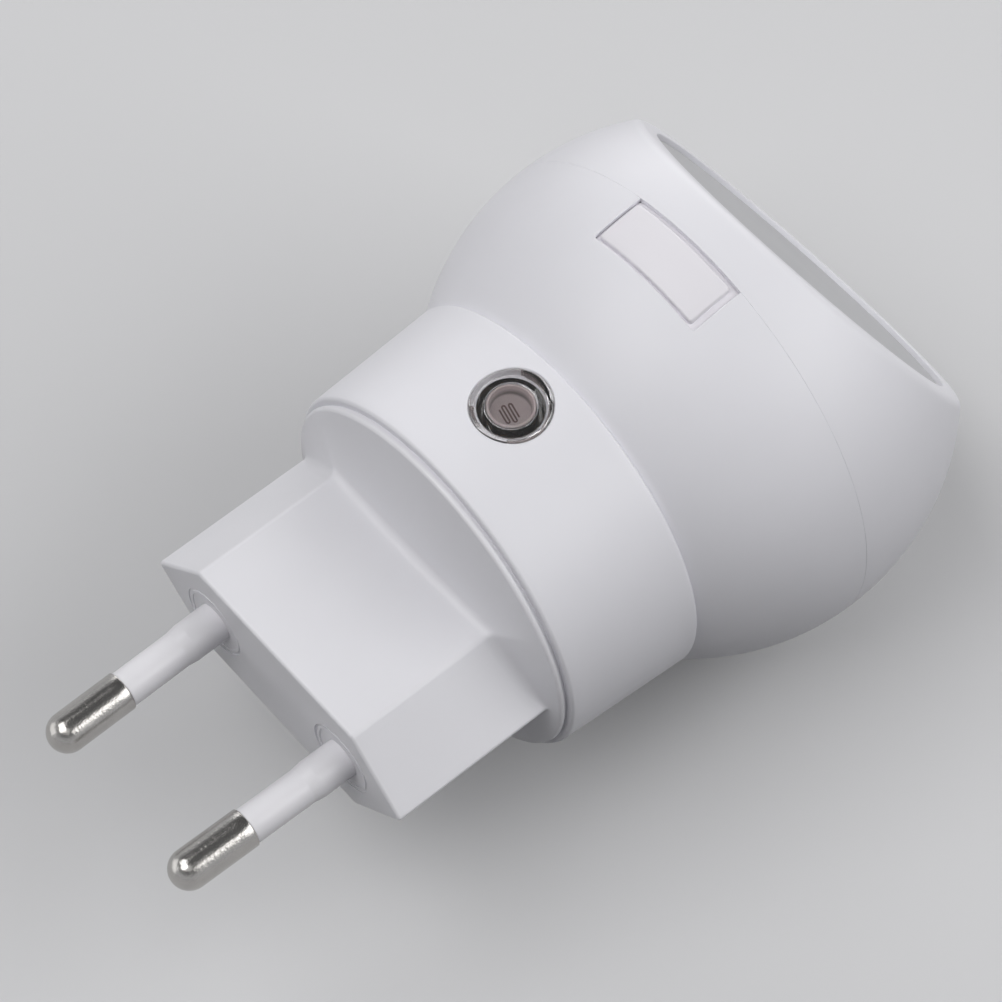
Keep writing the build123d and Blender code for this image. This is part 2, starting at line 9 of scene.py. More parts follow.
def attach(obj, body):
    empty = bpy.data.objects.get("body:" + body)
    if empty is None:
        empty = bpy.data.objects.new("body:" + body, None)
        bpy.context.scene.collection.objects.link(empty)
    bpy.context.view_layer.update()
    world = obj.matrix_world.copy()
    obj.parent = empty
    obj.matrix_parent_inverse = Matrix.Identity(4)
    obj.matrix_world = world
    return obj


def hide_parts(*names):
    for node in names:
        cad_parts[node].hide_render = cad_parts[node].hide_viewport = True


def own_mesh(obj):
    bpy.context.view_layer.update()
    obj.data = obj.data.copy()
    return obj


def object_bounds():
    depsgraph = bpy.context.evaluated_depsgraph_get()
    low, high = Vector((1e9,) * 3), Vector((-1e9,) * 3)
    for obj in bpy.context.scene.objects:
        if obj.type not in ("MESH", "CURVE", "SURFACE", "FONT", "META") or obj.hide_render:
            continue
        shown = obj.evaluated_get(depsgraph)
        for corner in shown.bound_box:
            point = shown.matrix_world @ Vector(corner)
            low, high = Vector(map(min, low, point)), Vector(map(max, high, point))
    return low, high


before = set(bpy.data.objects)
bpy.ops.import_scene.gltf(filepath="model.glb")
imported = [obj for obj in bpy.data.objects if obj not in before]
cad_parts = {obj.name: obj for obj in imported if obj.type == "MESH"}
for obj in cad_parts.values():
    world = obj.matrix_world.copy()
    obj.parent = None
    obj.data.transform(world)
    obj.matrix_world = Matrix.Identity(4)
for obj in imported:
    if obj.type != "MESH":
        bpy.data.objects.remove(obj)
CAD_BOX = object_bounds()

bl_info = {
    "name": "Plug-in night light",
    "version": (1, 0, 0),
    "blender": (4, 5, 0),
    "location": "3D View > Sidebar > Night light",
    "description": "Dresses the packed night light with moulded surfaces, finishes and a small studio",
    "category": "Add Mesh",
}

# The frame's origin is the centre of the plug's engagement face. +Y runs into the wall along the
# pins, +Z is the side with the sensor and the button, and X crosses the two pins. Metres.
MM = 0.001
HOUSING = "housing"
BUTTON = "button"
MIDDLE = (0, -0.03, 0)


def length(name, description, millimetres):
    """A size property, typed in millimetres and held in metres."""
    return bpy.props.FloatProperty(
        name=name, description=description, default=millimetres * MM, unit="LENGTH", precision=5
    )


def tilt(name, description, angle):
    """An angle property, typed in degrees."""
    return bpy.props.FloatProperty(name=name, description=description, default=radians(angle), subtype="ANGLE")


def amount(name, description, value):
    """A property that is a plain number."""
    return bpy.props.FloatProperty(name=name, description=description, default=value)


def fraction(name, description, part):
    """A property that is a share of something."""
    return bpy.props.FloatProperty(name=name, description=description, default=part, min=0.1, max=0.95)


def colour(name, description, red, green, blue):
    """A colour property, in linear values."""
    return bpy.props.FloatVectorProperty(
        name=name, description=description, default=(red, green, blue), subtype="COLOR", size=3, min=0, max=1
    )


# ------------------------------------------------------------------------------------ settings
class HousingSizes(bpy.types.PropertyGroup):
    ball_radius: length("Ball radius", "Outside radius of the round housing", 26.2)
    ball_distance: length("Ball distance", "From the engagement face to the ball's centre", 50.698)
    wall: length("Wall", "Thickness of the moulded shell", 1.8)
    parting: length("Parting", "From the engagement face to the joint of the two shells", 49.598)
    groove: length("Groove", "Depth of the fine groove at that joint", 0.035)
    collar_start: length("Collar start", "From the engagement face to the collar's near end", 18.95)
    collar_length: length("Collar length", "Length of the drafted collar", 14.75)
    collar_radius: length("Collar radius", "Radius at the collar's near end", 19.65)
    collar_draft: tilt("Collar draft", "Half angle of the collar's cone", 3.25)
    collar_edge: length("Collar edge", "Rounding of the collar's two edges", 0.4)
    seat_radius: length("Seat radius", "Bore that takes the plug insert", 17.9)
    seat_end: length("Seat end", "From the engagement face to the end of that bore", 24.2)
    neck_web: length("Neck web", "Thickness of the step between collar and ball", 1.2)


class FaceSizes(bpy.types.PropertyGroup):
    tilt: tilt("Tilt", "Angle between the light face and the wall", 31.0)
    distance: length("Distance", "From the ball's centre to the light face", 16.401)
    rim_rounding: length("Rim rounding", "Rounding between the ball and the light face", 1.5)
    recess: length("Recess", "How far the lens sits below the rim", 0.5)
    inner_edge: length("Inner edge", "Rounding of the rim's inner edge", 0.12)
    lens_radius: length("Lens radius", "Radius of the milky lens", 18.101)
    lens_thick: length("Lens thickness", "Thickness of the lens disc", 1.5)
    lens_gap: length("Lens gap", "Radial gap round the lens", 0.08)
    lens_edge: length("Lens edge", "Rounding of the lens's front edge", 0.25)
    ledge: length("Ledge", "Thickness of the ledge that carries the lens", 1.5)
    skirt_radius: length("Skirt radius", "Outside radius of the lens's skirt", 16.701)
    skirt_wall: length("Skirt wall", "Thickness of that skirt", 0.9)
    skirt_length: length("Skirt length", "How far the skirt reaches to the LED board", 2.5)
    cup_wall: length("Cup wall", "Thickness of the cup round the LED board", 1.4)
    cup_lip: length("Cup lip", "Width of the lip that the LED board sits on", 1.3)
    cup_lip_thick: length("Cup lip thickness", "Thickness of that lip", 0.8)
    board_thick: length("LED board", "Thickness of the LED board", 1.2)


class PlugSizes(bpy.types.PropertyGroup):
    width: length("Width", "Body width across its two side edges", 35.5)
    flat: length("Flat", "Width of the flat top and bottom", 22.1)
    thick: length("Thickness", "Body thickness over the two flats", 13.6)
    depth: length("Depth", "From the engagement face to the flange", 18.1)
    cone: tilt("Cone", "Slope of the flange's face, from its edge towards the slanted sides", 16.7)
    foot: length("Foot", "How far the flange's face climbs where it meets the flats", 1.8)
    sweep: length("Sweep", "Reach of the bend between the body and that face", 1.0)
    ridge: length("Ridge", "Rounding of the four long ridges", 0.9)
    side_edge: length("Side edge", "Rounding of the two outer side edges", 0.38)
    face_edge: length("Face edge", "Rounding round the engagement face", 0.35)
    flange_radius: length("Flange radius", "Radius of the thin flange", 19.0)
    flange_thick: length("Flange thickness", "Thickness of the thin flange", 0.5)
    flange_edge: length("Flange edge", "Rounding of the flange's edge", 0.4)
    shoulder: length("Shoulder", "Width of the groove behind the flange", 0.2)
    shoulder_depth: length("Shoulder depth", "Depth of that groove along the plug", 0.35)
    spigot_radius: length("Spigot radius", "Radius of the ring that snaps into the collar", 17.85)
    spigot_wall: length("Spigot wall", "Thickness of that ring", 1.65)
    spigot_length: length("Spigot length", "Length of that ring behind the flange", 5.0)
    spigot_edge: length("Spigot edge", "Rounding of that ring's end", 0.2)
    floor: length("Floor", "Thickness of the insert's floor", 2.0)
    ring_radius: length("Ring radius", "Shallow round recess about each pin", 3.85)
    ring_depth: length("Ring depth", "Depth of that recess", 0.15)
    ring_edge: length("Ring edge", "Rounding of the edges in that recess", 0.04)
    hold_edge: length("Hold edge", "Rounding at the bottom of the hole that holds the sleeve", 0.05)
    bead_outer: length("Bead outside", "Outer radius of the low bead in that recess", 3.55)
    bead_inner: length("Bead inside", "Inner radius of that bead", 3.25)
    bead_depth: length("Bead depth", "How far the bead's top sits below the face", 0.02)


class PinSizes(bpy.types.PropertyGroup):
    radius: length("Radius", "Pin radius", 2.0)
    length: length("Length", "Pin length from the engagement face", 19.3)
    spacing: length("Spacing", "Distance of the two pins at the engagement face", 18.6)
    tip_spacing: length("Tip spacing", "Distance of the two pins at their tips", 18.0)
    shank: length("Shank", "Radius of the shank inside the sleeve", 1.55)
    sleeve_length: length("Sleeve", "Length of the sleeve from the engagement face", 10.85)
    sleeve_radius: length("Sleeve radius", "Radius of the sleeve", 1.83)
    root_radius: length("Root radius", "Radius of the sleeve's thicker root", 1.98)
    root_length: length("Root length", "Length of that root before it tapers", 3.3)
    root_taper: length("Root taper", "Length of that taper", 1.1)
    root_edge: length("Root edge", "Rounding at both ends of that taper", 0.3)
    sleeve_edge: length("Sleeve edge", "Rounding of the sleeve's end", 0.1)
    tip_edge: length("Tip edge", "Rounding of the pin's edge at the sleeve", 0.12)
    embedded: length("Embedded", "How deep the body holds the sleeve", 3.0)
    tail: length("Tail", "From the engagement face to the riveted tail's end", 21.1)
    head_radius: length("Head radius", "Radius of the riveted head", 1.9)
    head_thick: length("Head thickness", "Thickness of the riveted head", 0.45)
    head_edge: length("Head edge", "Rounding of that head", 0.15)


class ButtonSizes(bpy.types.PropertyGroup):
    opening_length: length("Opening length", "Length of the opening across the housing", 13.5)
    opening_width: length("Opening width", "Width of the opening along the housing", 5.6)
    opening_edge: length("Opening edge", "Rounding of the opening's edge", 0.16)
    opening_corner: length("Opening corner", "Rounding of the opening's corners", 0.3)
    cap_length: length("Cap length", "Length of the button", 12.4)
    cap_width: length("Cap width", "Width of the button", 4.75)
    cap_corner: length("Cap corner", "Rounding of the button's corners", 0.3)
    cap_edge: length("Cap edge", "Rounding of the button's top edge", 0.18)
    land_drop: length("Land drop", "How far the land round the button sits below the ball", 0.52)
    land_gap: length("Land gap", "Gap between that land and the opening", 0.04)
    offset_x: length("Offset X", "Sideways play that the button rests with", 0.2)
    offset_y: length("Offset Y", "Lengthwise play that the button rests with", 0.12)
    lip: length("Lip", "How far the hidden lip reaches past the opening", 1.3)
    lip_gap: length("Lip gap", "Gap between the lip and the shell", 0.15)
    lip_corner: length("Lip corner", "Rounding of the lip's corners", 0.3)
    pocket_gap: length("Pocket gap", "From the lip to the far end of its pocket", 0.25)
    pocket_step: length("Pocket step", "Width over which that far end drops", 0.05)
    pocket_play: length("Pocket play", "Reach of the pocket's other sides past the lip", 0.65)
    thin_wall: length("Thin wall", "Thickness of the shell over the lip", 0.55)
    lip_thick: length("Lip thickness", "Thickness of that lip", 1.0)
    stem_radius: length("Stem radius", "Radius of the stem", 1.7)
    foot_radius: length("Foot radius", "Radius of the foot that the spring carries", 2.9)
    foot_thick: length("Foot thickness", "Thickness of that foot", 0.8)
    foot_level: length("Foot level", "Height of the foot's underside", 17.5)
    travel: length("Travel", "How far the button goes in", 0.9)
    switch_level: length("Switch level", "Height of the switch on which the spring stands", 14.0)
    spring_radius: length("Spring radius", "Mean radius of the coil spring", 2.35)
    spring_wire: length("Spring wire", "Radius of the spring's wire", 0.2)
    spring_gap: length("Spring gap", "Gap at either end of the spring", 0.05)
    spring_turns: bpy.props.FloatProperty(name="Spring turns", description="Turns of the spring", default=3.5, min=1)


class SensorSizes(bpy.types.PropertyGroup):
    distance: length("Distance", "From the engagement face to the sensor's axis", 28.3)
    patch: length("Patch", "Half length of the collar's stretch in which the window's hole lies", 4.5)
    inner_patch: length("Inner patch", "Half length of that stretch inside the collar", 4.0)
    radius: length("Radius", "Radius of the clear window", 3.88)
    seat_gap: length("Seat gap", "Gap between the window and its seat", 0.05)
    seat_edge: length("Seat edge", "Rounding of the seat's outer edge", 0.12)
    proud: length("Proud", "How far the window stands out of the collar", 0.12)
    rim: length("Rim", "Rounding of the window's edge", 0.3)
    flange: length("Flange", "Thickness of the window", 1.1)
    taper: length("Taper", "How much narrower the window's seat is at its foot", 0.55)
    barrel_radius: length("Barrel radius", "Radius of the barrel round the light cell", 3.1)
    bore_radius: length("Bore", "Radius of the bore in which the light cell sits", 2.5)
    bore_roof: length("Bore roof", "Thickness of the window over that bore", 0.45)
    bore_edge: length("Bore edge", "Rounding between the bore and its roof", 0.25)
    barrel_length: length("Barrel length", "Length of that barrel", 3.6)
    cell_radius: length("Cell radius", "Radius of the light cell", 2.28)
    cell_thick: length("Cell thickness", "Thickness of the light cell", 2.85)
    cell_gap: length("Cell gap", "Gap between the window's roof and the light cell", 0.05)
    cell_window: fraction("Cell window", "Share of the cell's radius that its resin window takes", 0.8)
    cell_sunk: length("Cell sunk", "How far that resin window is sunk", 1.1)
    cell_slope: length("Cell slope", "Width of the slope down to that resin window", 0.22)
    slope_foot: length("Slope foot", "Rounding at the foot of that slope", 0.08)
    slope_edge: length("Slope edge", "Rounding at the top of that slope", 0.06)
    cell_edge: length("Cell edge", "Rounding of the cell's outer edges", 0.1)
    track_lines: bpy.props.IntProperty(name="Track lines", description="Straight runs of the track", default=5, min=2)
    track_fill: fraction("Track fill", "Share of the room's width that the runs take", 0.86)
    track_pitch: length("Track pitch", "Distance from run to run", 0.32)
    track_width: length("Track width", "Width of the track", 0.15)
    track_height: length("Track height", "Height of the track", 0.05)
    track_sunk: length("Track sunk", "How deep the track's foot sits in the resin", 0.02)
    track_margin: length("Track margin", "From the track to the resin window's edge", 0.8)
    track_turn: tilt("Track turn", "Angle of the runs to the housing", -14.0)
    track_shift: length("Track shift", "How far the track sits off the cell's middle, towards the plug", 0.2)


class FinishColours(bpy.types.PropertyGroup):
    shell: colour("Shell", "Moulded white of the two shells", 0.80, 0.795, 0.835)
    plug: colour("Plug", "Moulded white of the plug insert", 0.79, 0.785, 0.82)
    button: colour("Button", "Moulded white of the button", 0.82, 0.80, 0.84)
    sleeve: colour("Sleeve", "White of the pins' sleeves", 0.80, 0.79, 0.82)
    lens: colour("Lens", "Milky grey of the lens", 0.50, 0.50, 0.515)
    # Partly painted reflection: the plating is set darker than real nickel, to stand in for the dark surroundings
    # that the pins mirror.
    nickel_and_dark_reflection: colour("Nickel", "Plating of the pins", 0.50, 0.485, 0.465)
    cell: colour("Cell", "Resin on the light cell", 0.68, 0.58, 0.58)
    track: colour("Track", "Printed track on the light cell", 0.10, 0.055, 0.05)
    floor: colour("Floor", "Pale studio floor", 0.66, 0.66, 0.67)


class StudioSettings(bpy.types.PropertyGroup):
    camera_place: bpy.props.FloatVectorProperty(
        name="Camera place",
        description="Where the camera stands",
        default=(-0.13763, 0.09001, 0.31067),
        subtype="TRANSLATION",
    )
    camera_aim: bpy.props.FloatVectorProperty(
        name="Camera aim", description="Direction in which the camera looks", default=(0.386990, -0.329248, -0.861298)
    )
    camera_roll: tilt("Camera roll", "Turn of the camera about its own axis", 0.059)
    lens: amount("Lens", "Focal length in millimetres on a 36 mm frame", 136.86)
    power: amount("Power", "Power of a full softbox in watts", 4.0)
    reach: length("Reach", "From the object to each softbox", 1000)
    box_width: length("Softbox width", "Width of each softbox", 900)
    box_height: length("Softbox height", "Height of each softbox", 600)
    fill: amount("Surrounding light", "Strength of the even studio light", 0.1)
    pale: amount("Backdrop", "Strength of the studio's walls where they are seen", 0.6)
    wall_top: tilt("Wall top", "Height angle up to which the walls are pale", 20)
    ceiling: tilt("Ceiling", "Height angle from which the ceiling is dark", 45)
    floor_half: length("Floor half", "From the floor's middle to its edges", 3000)
    floor_gap: length("Floor gap", "From the object down to the floor", 0.05)
    floor_reach: length("Floor reach", "Distance at which the floor has faded into the wall", 1300)


SETTINGS = {
    "night_light_housing": HousingSizes,
    "night_light_face": FaceSizes,
    "night_light_plug": PlugSizes,
    "night_light_pins": PinSizes,
    "night_light_button": ButtonSizes,
    "night_light_sensor": SensorSizes,
    "night_light_colours": FinishColours,
    "night_light_studio": StudioSettings,
}


# ------------------------------------------------------------------------------------ finishes
class Signal:
    """A shader socket that takes part in sums and products. Each operator adds one Math node."""

    def __init__(self, tree, socket):
        self.tree = tree
        self.socket = socket

    def _math(self, operation, first, second):
        return self.tree.node("ShaderNodeMath", {"operation": operation}, {0: first, 1: second})

    def __add__(self, other):
        return self._math("ADD", self, other)

    def __radd__(self, other):
        return self._math("ADD", other, self)

    def __sub__(self, other):
        return self._math("SUBTRACT", self, other)

    def __rsub__(self, other):
        return self._math("SUBTRACT", other, self)

    def __mul__(self, other):
        return self._math("MULTIPLY", self, other)


class Tree:
    """A node tree, with short ways to add nodes to it."""

    def __init__(self, tree):
        self.tree = tree

    def node(self, kind, settings, inputs, output=0):
        """Any node, with its settings, the values or links of its sockets, and the output that is wanted."""
        made = self.tree.nodes.new(kind)
        for key, value in settings.items():
            setattr(made, key, value)
        for key, value in inputs.items():
            self.join(made.inputs[key], value)
        return Signal(self, made.outputs[output])

    def join(self, socket, value):
        """Links a signal to a socket, or sets the socket's own value."""
        if isinstance(value, Signal):
            self.tree.links.new(value.socket, socket)
        elif socket.type == "RGBA":
            socket.default_value = (*value, 1)
        else:
            socket.default_value = value

    def remap(self, value, low, high, to_low=0.0, to_high=1.0):
        """Carries a value from one range to another and holds it there."""
        return self.node("ShaderNodeMapRange", {"clamp": True}, {0: value, 1: low, 2: high, 3: to_low, 4: to_high})

    def seen(self, unseen, shown):
        """One value for the light on the object, another where the studio is seen, mirrored or seen through glass."""
        path = self.tree.nodes.new("ShaderNodeLightPath")
        straight, mirrored, through = (
            Signal(self, path.outputs[name]) for name in ("Is Camera Ray", "Is Glossy Ray", "Is Transmission Ray")
        )
        return self.remap(straight + mirrored + through, 0.0, 1.0, unseen, shown)


class Finish(Tree):
    """One material: a Principled BSDF and the nodes that feed it."""

    def __init__(self, name, **constants):
        self.material = bpy.data.materials.new(name)
        self.material.use_nodes = True
        super().__init__(self.material.node_tree)
        self.tree.nodes.clear()
        self.shader = self.tree.nodes.new("ShaderNodeBsdfPrincipled")
        output = self.tree.nodes.new("ShaderNodeOutputMaterial")
        self.tree.links.new(self.shader.outputs["BSDF"], output.inputs["Surface"])
        self.feed(**constants)

    def feed(self, **sockets):
        """Sets or links the shader's own sockets, by names such as base_color."""
        for key, value in sockets.items():
            name = key.replace("_", " ").title().replace("Ior", "IOR")
            self.join(self.shader.inputs[name], value)

    def place(self, scale=(1, 1, 1), at=(0, 0, 0)):
        """Object coordinates, scaled and then moved, for a pattern."""
        where = self.node("ShaderNodeTexCoord", {}, {}, "Object")
        return self.node("ShaderNodeMapping", {}, {"Vector": where, "Location": at, "Scale": scale})

    def reach(self, where):
        """Distance from the origin of the given coordinates."""
        return self.node("ShaderNodeVectorMath", {"operation": "LENGTH"}, {0: where}, "Value")

    def noise(self, scale, detail=2.0, roughness=0.5, where=None):
        """Cloudy noise from 0 to 1; scale counts cells in a metre."""
        inputs = {"Vector": where or self.place(), "Scale": scale, "Detail": detail, "Roughness": roughness}
        return self.node("ShaderNodeTexNoise", {}, inputs)

    def cloud(self, *noise):
        """Noise with more contrast: its middle, from 0.3 to 0.7, fills the range from 0 to 1."""
        return self.remap(self.noise(*noise), 0.3, 0.7)

    def blend(self, factor, first, second):
        """Mix of two colours."""
        return self.node("ShaderNodeMix", {"data_type": "RGBA"}, {0: factor, 6: first, 7: second}, 2)

    def relief(self, height, depth, strength=1.0):
        """Bump from a height of 0 to 1 over a depth in metres."""
        normal = self.node("ShaderNodeBump", {}, {"Height": height, "Distance": depth, "Strength": strength})
        self.feed(normal=normal)


def shade(rgb, factor):
    """A colour made lighter or darker, in plain numbers."""
    return tuple(min(1.0, channel * factor) for channel in rgb)


def moulded(name, rgb, gloss, pores_in_metre=1000.0):
    """Moulded plastic: fine pores and broader smears in relief and gloss, and faint clouds in the tone."""
    finish = Finish(name, specular_ior_level=0.5, ior=1.5)
    tone = finish.cloud(55.0, 3.0)
    smear = finish.noise(240.0, 4.0, 0.6)
    pores = finish.noise(pores_in_metre, 2.0, 0.55)
    finish.feed(base_color=finish.blend(tone, shade(rgb, 0.975), shade(rgb, 1.015)))
    finish.feed(roughness=gloss + (smear - 0.5) * 0.09 + (pores - 0.5) * 0.05)
    finish.relief(pores + smear * 0.6, 3.0e-6)
    return finish.material


def frosted_lens(rgb):
    """Milky diffuser: fine frosting and faint clouds."""
    finish = Finish("frosted_lens", specular_ior_level=0.25, ior=1.49)
    frost = finish.noise(5200.0, 2.0, 0.6)
    finish.feed(base_color=finish.blend(finish.cloud(70.0, 2.0), shade(rgb, 0.97), shade(rgb, 1.03)))
    finish.feed(roughness=0.46 + (frost - 0.5) * 0.12)
    finish.relief(frost, 4.0e-6)
    return finish.material


def drawn_nickel(rgb):
    """Nickel plate on drawn brass: hair-fine lines along the pin, a fine grain and a little unevenness in gloss."""
    finish = Finish("drawn_nickel", metallic=1.0)
    hairs = finish.noise(5200.0, 3.0, 0.65, finish.place(scale=(1, 0.035, 1)))
    grain = finish.noise(4500.0, 2.0, 0.6)
    dull = finish.noise(420.0, 3.0, 0.55)
    finish.feed(base_color=finish.blend(finish.remap(dull, 0.35, 0.7), rgb, shade(rgb, 0.88)))
    finish.feed(roughness=0.15 + hairs * 0.12 + (dull - 0.5) * 0.08)
    finish.relief(hairs * 0.3 + grain, 2.0e-5)
    return finish.material


def clear_window():
    """Polished clear plastic with the faintest ripple."""
    finish = Finish("clear_window", transmission_weight=0.98, ior=1.49, base_color=(0.98, 0.97, 0.97))
    ripple = finish.noise(420.0, 2.0)
    finish.feed(roughness=0.012 + ripple * 0.02)
    finish.relief(ripple, 8.0e-6)
    return finish.material


# Distances past the edge of the cell's resin window, at which the painted shade in the crease at that edge is full,
# starts to fade and has faded.
CREASE_SHADE_FULL = 0.04 * MM
CREASE_SHADE_FADES = 0.06 * MM
CREASE_SHADE_ENDS = 0.16 * MM


def resin_cell(rgb, sensor):
    """Pinkish ceramic with a darker resin window and a dark ring of painted shade in the crease at the window's edge,
    which are told by the distance from the sensor's axis.
    """
    finish = Finish("resin_cell", coat_weight=0.4)
    mottle = finish.noise(1500.0, 3.0, 0.6)
    from_axis = finish.reach(finish.place(scale=(1, 1, 0), at=(0, sensor.distance, 0)))
    edge = sensor.cell_radius * sensor.cell_window
    # Painted shade: a dark ring in the crease where the sunk resin window meets the slope up to the rim.
    outline = finish.remap(from_axis, edge, edge + CREASE_SHADE_FULL)
    ceramic = finish.remap(from_axis, edge + CREASE_SHADE_FADES, edge + CREASE_SHADE_ENDS)
    tone = finish.blend(ceramic, finish.blend(outline, shade(rgb, 0.72), shade(rgb, 0.3)), rgb)
    finish.feed(base_color=finish.blend(finish.remap(mottle, 0.3, 0.7, 0.0, 0.25), tone, shade(rgb, 0.6)))
    finish.feed(roughness=0.3 + mottle * 0.15)
    finish.relief(mottle, 1.0e-5)
    return finish.material


def printed_track(rgb):
    """Dark printed track, a little grainy."""
    finish = Finish("printed_track")
    grain = finish.noise(9000.0)
    finish.feed(base_color=finish.blend(grain, shade(rgb, 0.7), shade(rgb, 1.5)), roughness=0.42 + grain * 0.15)
    return finish.material


def circuit_board(name, rgb, mask=0.86):
    """Solder resist over the weave of the board."""
    finish = Finish(name, coat_weight=0.3)
    threads = {"Color1": (1, 1, 1), "Color2": (0.6, 0.6, 0.6), "Mortar": (0, 0, 0)}
    weave = finish.node("ShaderNodeTexBrick", {}, {"Vector": finish.place(), "Scale": 900.0, **threads}, "Fac")
    cloud = finish.noise(180.0, 3.0)
    finish.feed(base_color=finish.blend(cloud, shade(rgb, mask), rgb), roughness=0.34 + cloud * 0.12)
    finish.relief(weave + cloud, 1.2e-5, 0.5)
    return finish.material


def mottled(name, dark, light, gloss, duller, noise, depth, **constants):
    """Patches between two tones that also dull the gloss and stand in low relief."""
    finish = Finish(name, **constants)
    patches = finish.noise(*noise)
    finish.feed(base_color=finish.blend(patches, dark, light), roughness=gloss + patches * duller)
    finish.relief(patches, depth)
    return finish.material


def worn_metal(name, rgb, gloss):
    """Rolled or tinned metal with dull patches."""
    dark, light = shade(rgb, 0.78), shade(rgb, 1.08)
    return mottled(name, dark, light, gloss, 0.2, (900.0, 4.0, 0.6), 8.0e-6, metallic=1.0)


def lacquer(name, rgb, gloss):
    """Dipped or moulded casing of a small component."""
    dark, light = shade(rgb, 0.82), shade(rgb, 1.12)
    return mottled(name, dark, light, gloss, 0.16, (700.0, 3.0, 0.6), 1.2e-5, coat_weight=0.25)


def phosphor_led():
    """Yellow phosphor over a small LED."""
    return mottled("phosphor_led", (0.86, 0.80, 0.38), (0.93, 0.88, 0.55), 0.35, 0.2, (5000.0,), 6.0e-6)


def dress(node, material):
    """Gives a CAD node a finish of its own."""
    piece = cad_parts[node]
    piece.data.materials.clear()
    piece.data.materials.append(material)


# ------------------------------------------------------------------------------------ surfaces
# Points closer than SEAM are one point, and HAIR is a step that no eye sees. SHARP is the angle, in degrees, from
# which an edge stays sharp, and AROUND counts the columns of a turned surface.
SEAM = 2e-7
HAIR = 0.01 * MM
SHARP = 32.0
AROUND = 256
EDGE_STEPS = 6


def even(steps, last=1.0):
    """Numbers from 0 to last, in so many even steps."""
    return np.linspace(0, last, steps + 1)


def arc(centre, radius, angle):
    """Points on a circle, at the given angles."""
    return np.column_stack([centre[0] + radius * np.cos(angle), centre[1] + radius * np.sin(angle)])


def edge_run(radius, steps=EDGE_STEPS):
    """Inset and drop of even points on a rounded edge, from its start on the top to its end on the side.

    At the angle a they are radius (1 - sin a) and radius (1 - cos a).
    """
    angle = even(steps, pi / 2)
    return radius * (1 - np.sin(angle)), radius * (1 - np.cos(angle))


def between(first, last, steps):
    """Rows of points that pass evenly from one row to another."""
    share = even(steps)[:, None, None]
    return first * (1 - share) + last * share


def profile(*parts):
    """Joins stretches of (radius, along) points into one path and drops a point that repeats."""
    points = np.concatenate([np.atleast_2d(np.asarray(part, float)) for part in parts])
    step = np.linalg.norm(np.diff(points, axis=0), axis=1)
    return points[np.concatenate([[True], step > SEAM])]


def rounded(corners, radii, steps=EDGE_STEPS):
    """Path through corners, each inner one turned into an arc tangent to its two runs.

    The arc's centre lies on the bisector, at radius / sin(half the angle) from the corner, and its points turn
    evenly from one tangent point to the other.
    """
    corners = np.asarray(corners, float)
    stretches = [corners[:1]]
    for before, corner, after, radius in zip(corners[:-2], corners[1:-1], corners[2:], radii):
        back = (before - corner) / np.linalg.norm(before - corner)
        on = (after - corner) / np.linalg.norm(after - corner)
        half = 0.5 * acos(float(np.clip(back @ on, -1, 1)))
        if radius == 0 or half > 0.499 * pi:
            stretches.append(corner[None])
            continue
        centre = corner + (back + on) / np.linalg.norm(back + on) * radius / sin(half)
        spoke = corner + back * radius / tan(half) - centre
        turn = np.sign(back[0] * on[1] - back[1] * on[0]) * (2 * half - pi) * even(steps)
        cosines, sines = np.cos(turn), np.sin(turn)
        bend = np.stack([spoke[0] * cosines - spoke[1] * sines, spoke[0] * sines + spoke[1] * cosines], axis=1)
        stretches.append(centre + bend)
    stretches.append(corners[-1:])
    return profile(*stretches)


def refine(points, longest):
    """Divides each run of a path evenly, into steps no longer than a given length."""
    run = np.diff(points, axis=0)
    count = np.maximum(1, np.ceil(np.linalg.norm(run, axis=1) / longest - 1e-6)).astype(int)
    index = np.repeat(np.arange(len(run)), count)
    first = np.repeat(np.cumsum(count) - count, count)
    part = (np.arange(count.sum()) - first) / count[index]
    return np.concatenate([points[index] + run[index] * part[:, None], points[-1:]])


def turned(path, around=AROUND, centre=(0, 0, 0), axis=(0, 1, 0), up=(0, 0, 1)):
    """Surface of revolution from (radius, level) points, which closes after a full turn about an axis square to X.

    At the angle a, a point is centre + level * axis + radius (sin a x + cos a up).
    """
    angle = even(around, 2 * pi)[:, None]
    spoke = np.sin(angle) * (1, 0, 0) + np.cos(angle) * up
    radius, level = path[:, :1, None], path[:, 1:, None]
    return centre + level * np.array(axis) + radius * spoke


def about_face(path, face, centre_y):
    """Turns a path about the light face's axis, with levels counted from the ball's centre."""
    rise, run = sin(face.tilt), cos(face.tilt)
    return turned(path, AROUND, (0, centre_y, 0), (0, -run, rise), (0, rise, run))


def upright(path, y, around):
    """Turns a path about the upright axis at a distance y along the plug."""
    return turned(path, around, (0, y, 0), (0, 0, 1), (0, 1, 0))


def sewn(name, grids):
    """Sews grids of points into one closed mesh object.

    Each grid gives a quad between every four neighbours, or only the kept ones of a (grid, keep) pair. Points
    that meet are merged and all faces are turned outwards.
    """
    vertices, faces, start = [], [], 0
    for grid in grids:
        grid, keep = grid if isinstance(grid, tuple) else (grid, slice(None))
        rows, columns = grid.shape[:2]
        index = np.arange(rows * columns).reshape(rows, columns) + start
        quads = np.stack([index[:-1, :-1], index[1:, :-1], index[1:, 1:], index[:-1, 1:]], axis=-1)
        faces.append(quads[keep].reshape(-1, 4))
        vertices.append(grid.reshape(-1, 3))
        start += rows * columns
    used, faces = np.unique(np.concatenate(faces), return_inverse=True)
    mesh = bpy.data.meshes.new(name)
    mesh.from_pydata(np.concatenate(vertices)[used].tolist(), [], faces.reshape(-1, 4).tolist())
    sew(mesh)
    piece = bpy.data.objects.new(name, mesh)
    bpy.context.scene.collection.objects.link(piece)
    return piece


def build(name, grids, material, body, node, sharp=SHARP):
    """Makes a piece from grids and hands it its CAD node's place."""
    return finish_piece(sewn(name, grids), material, body, node, sharp)


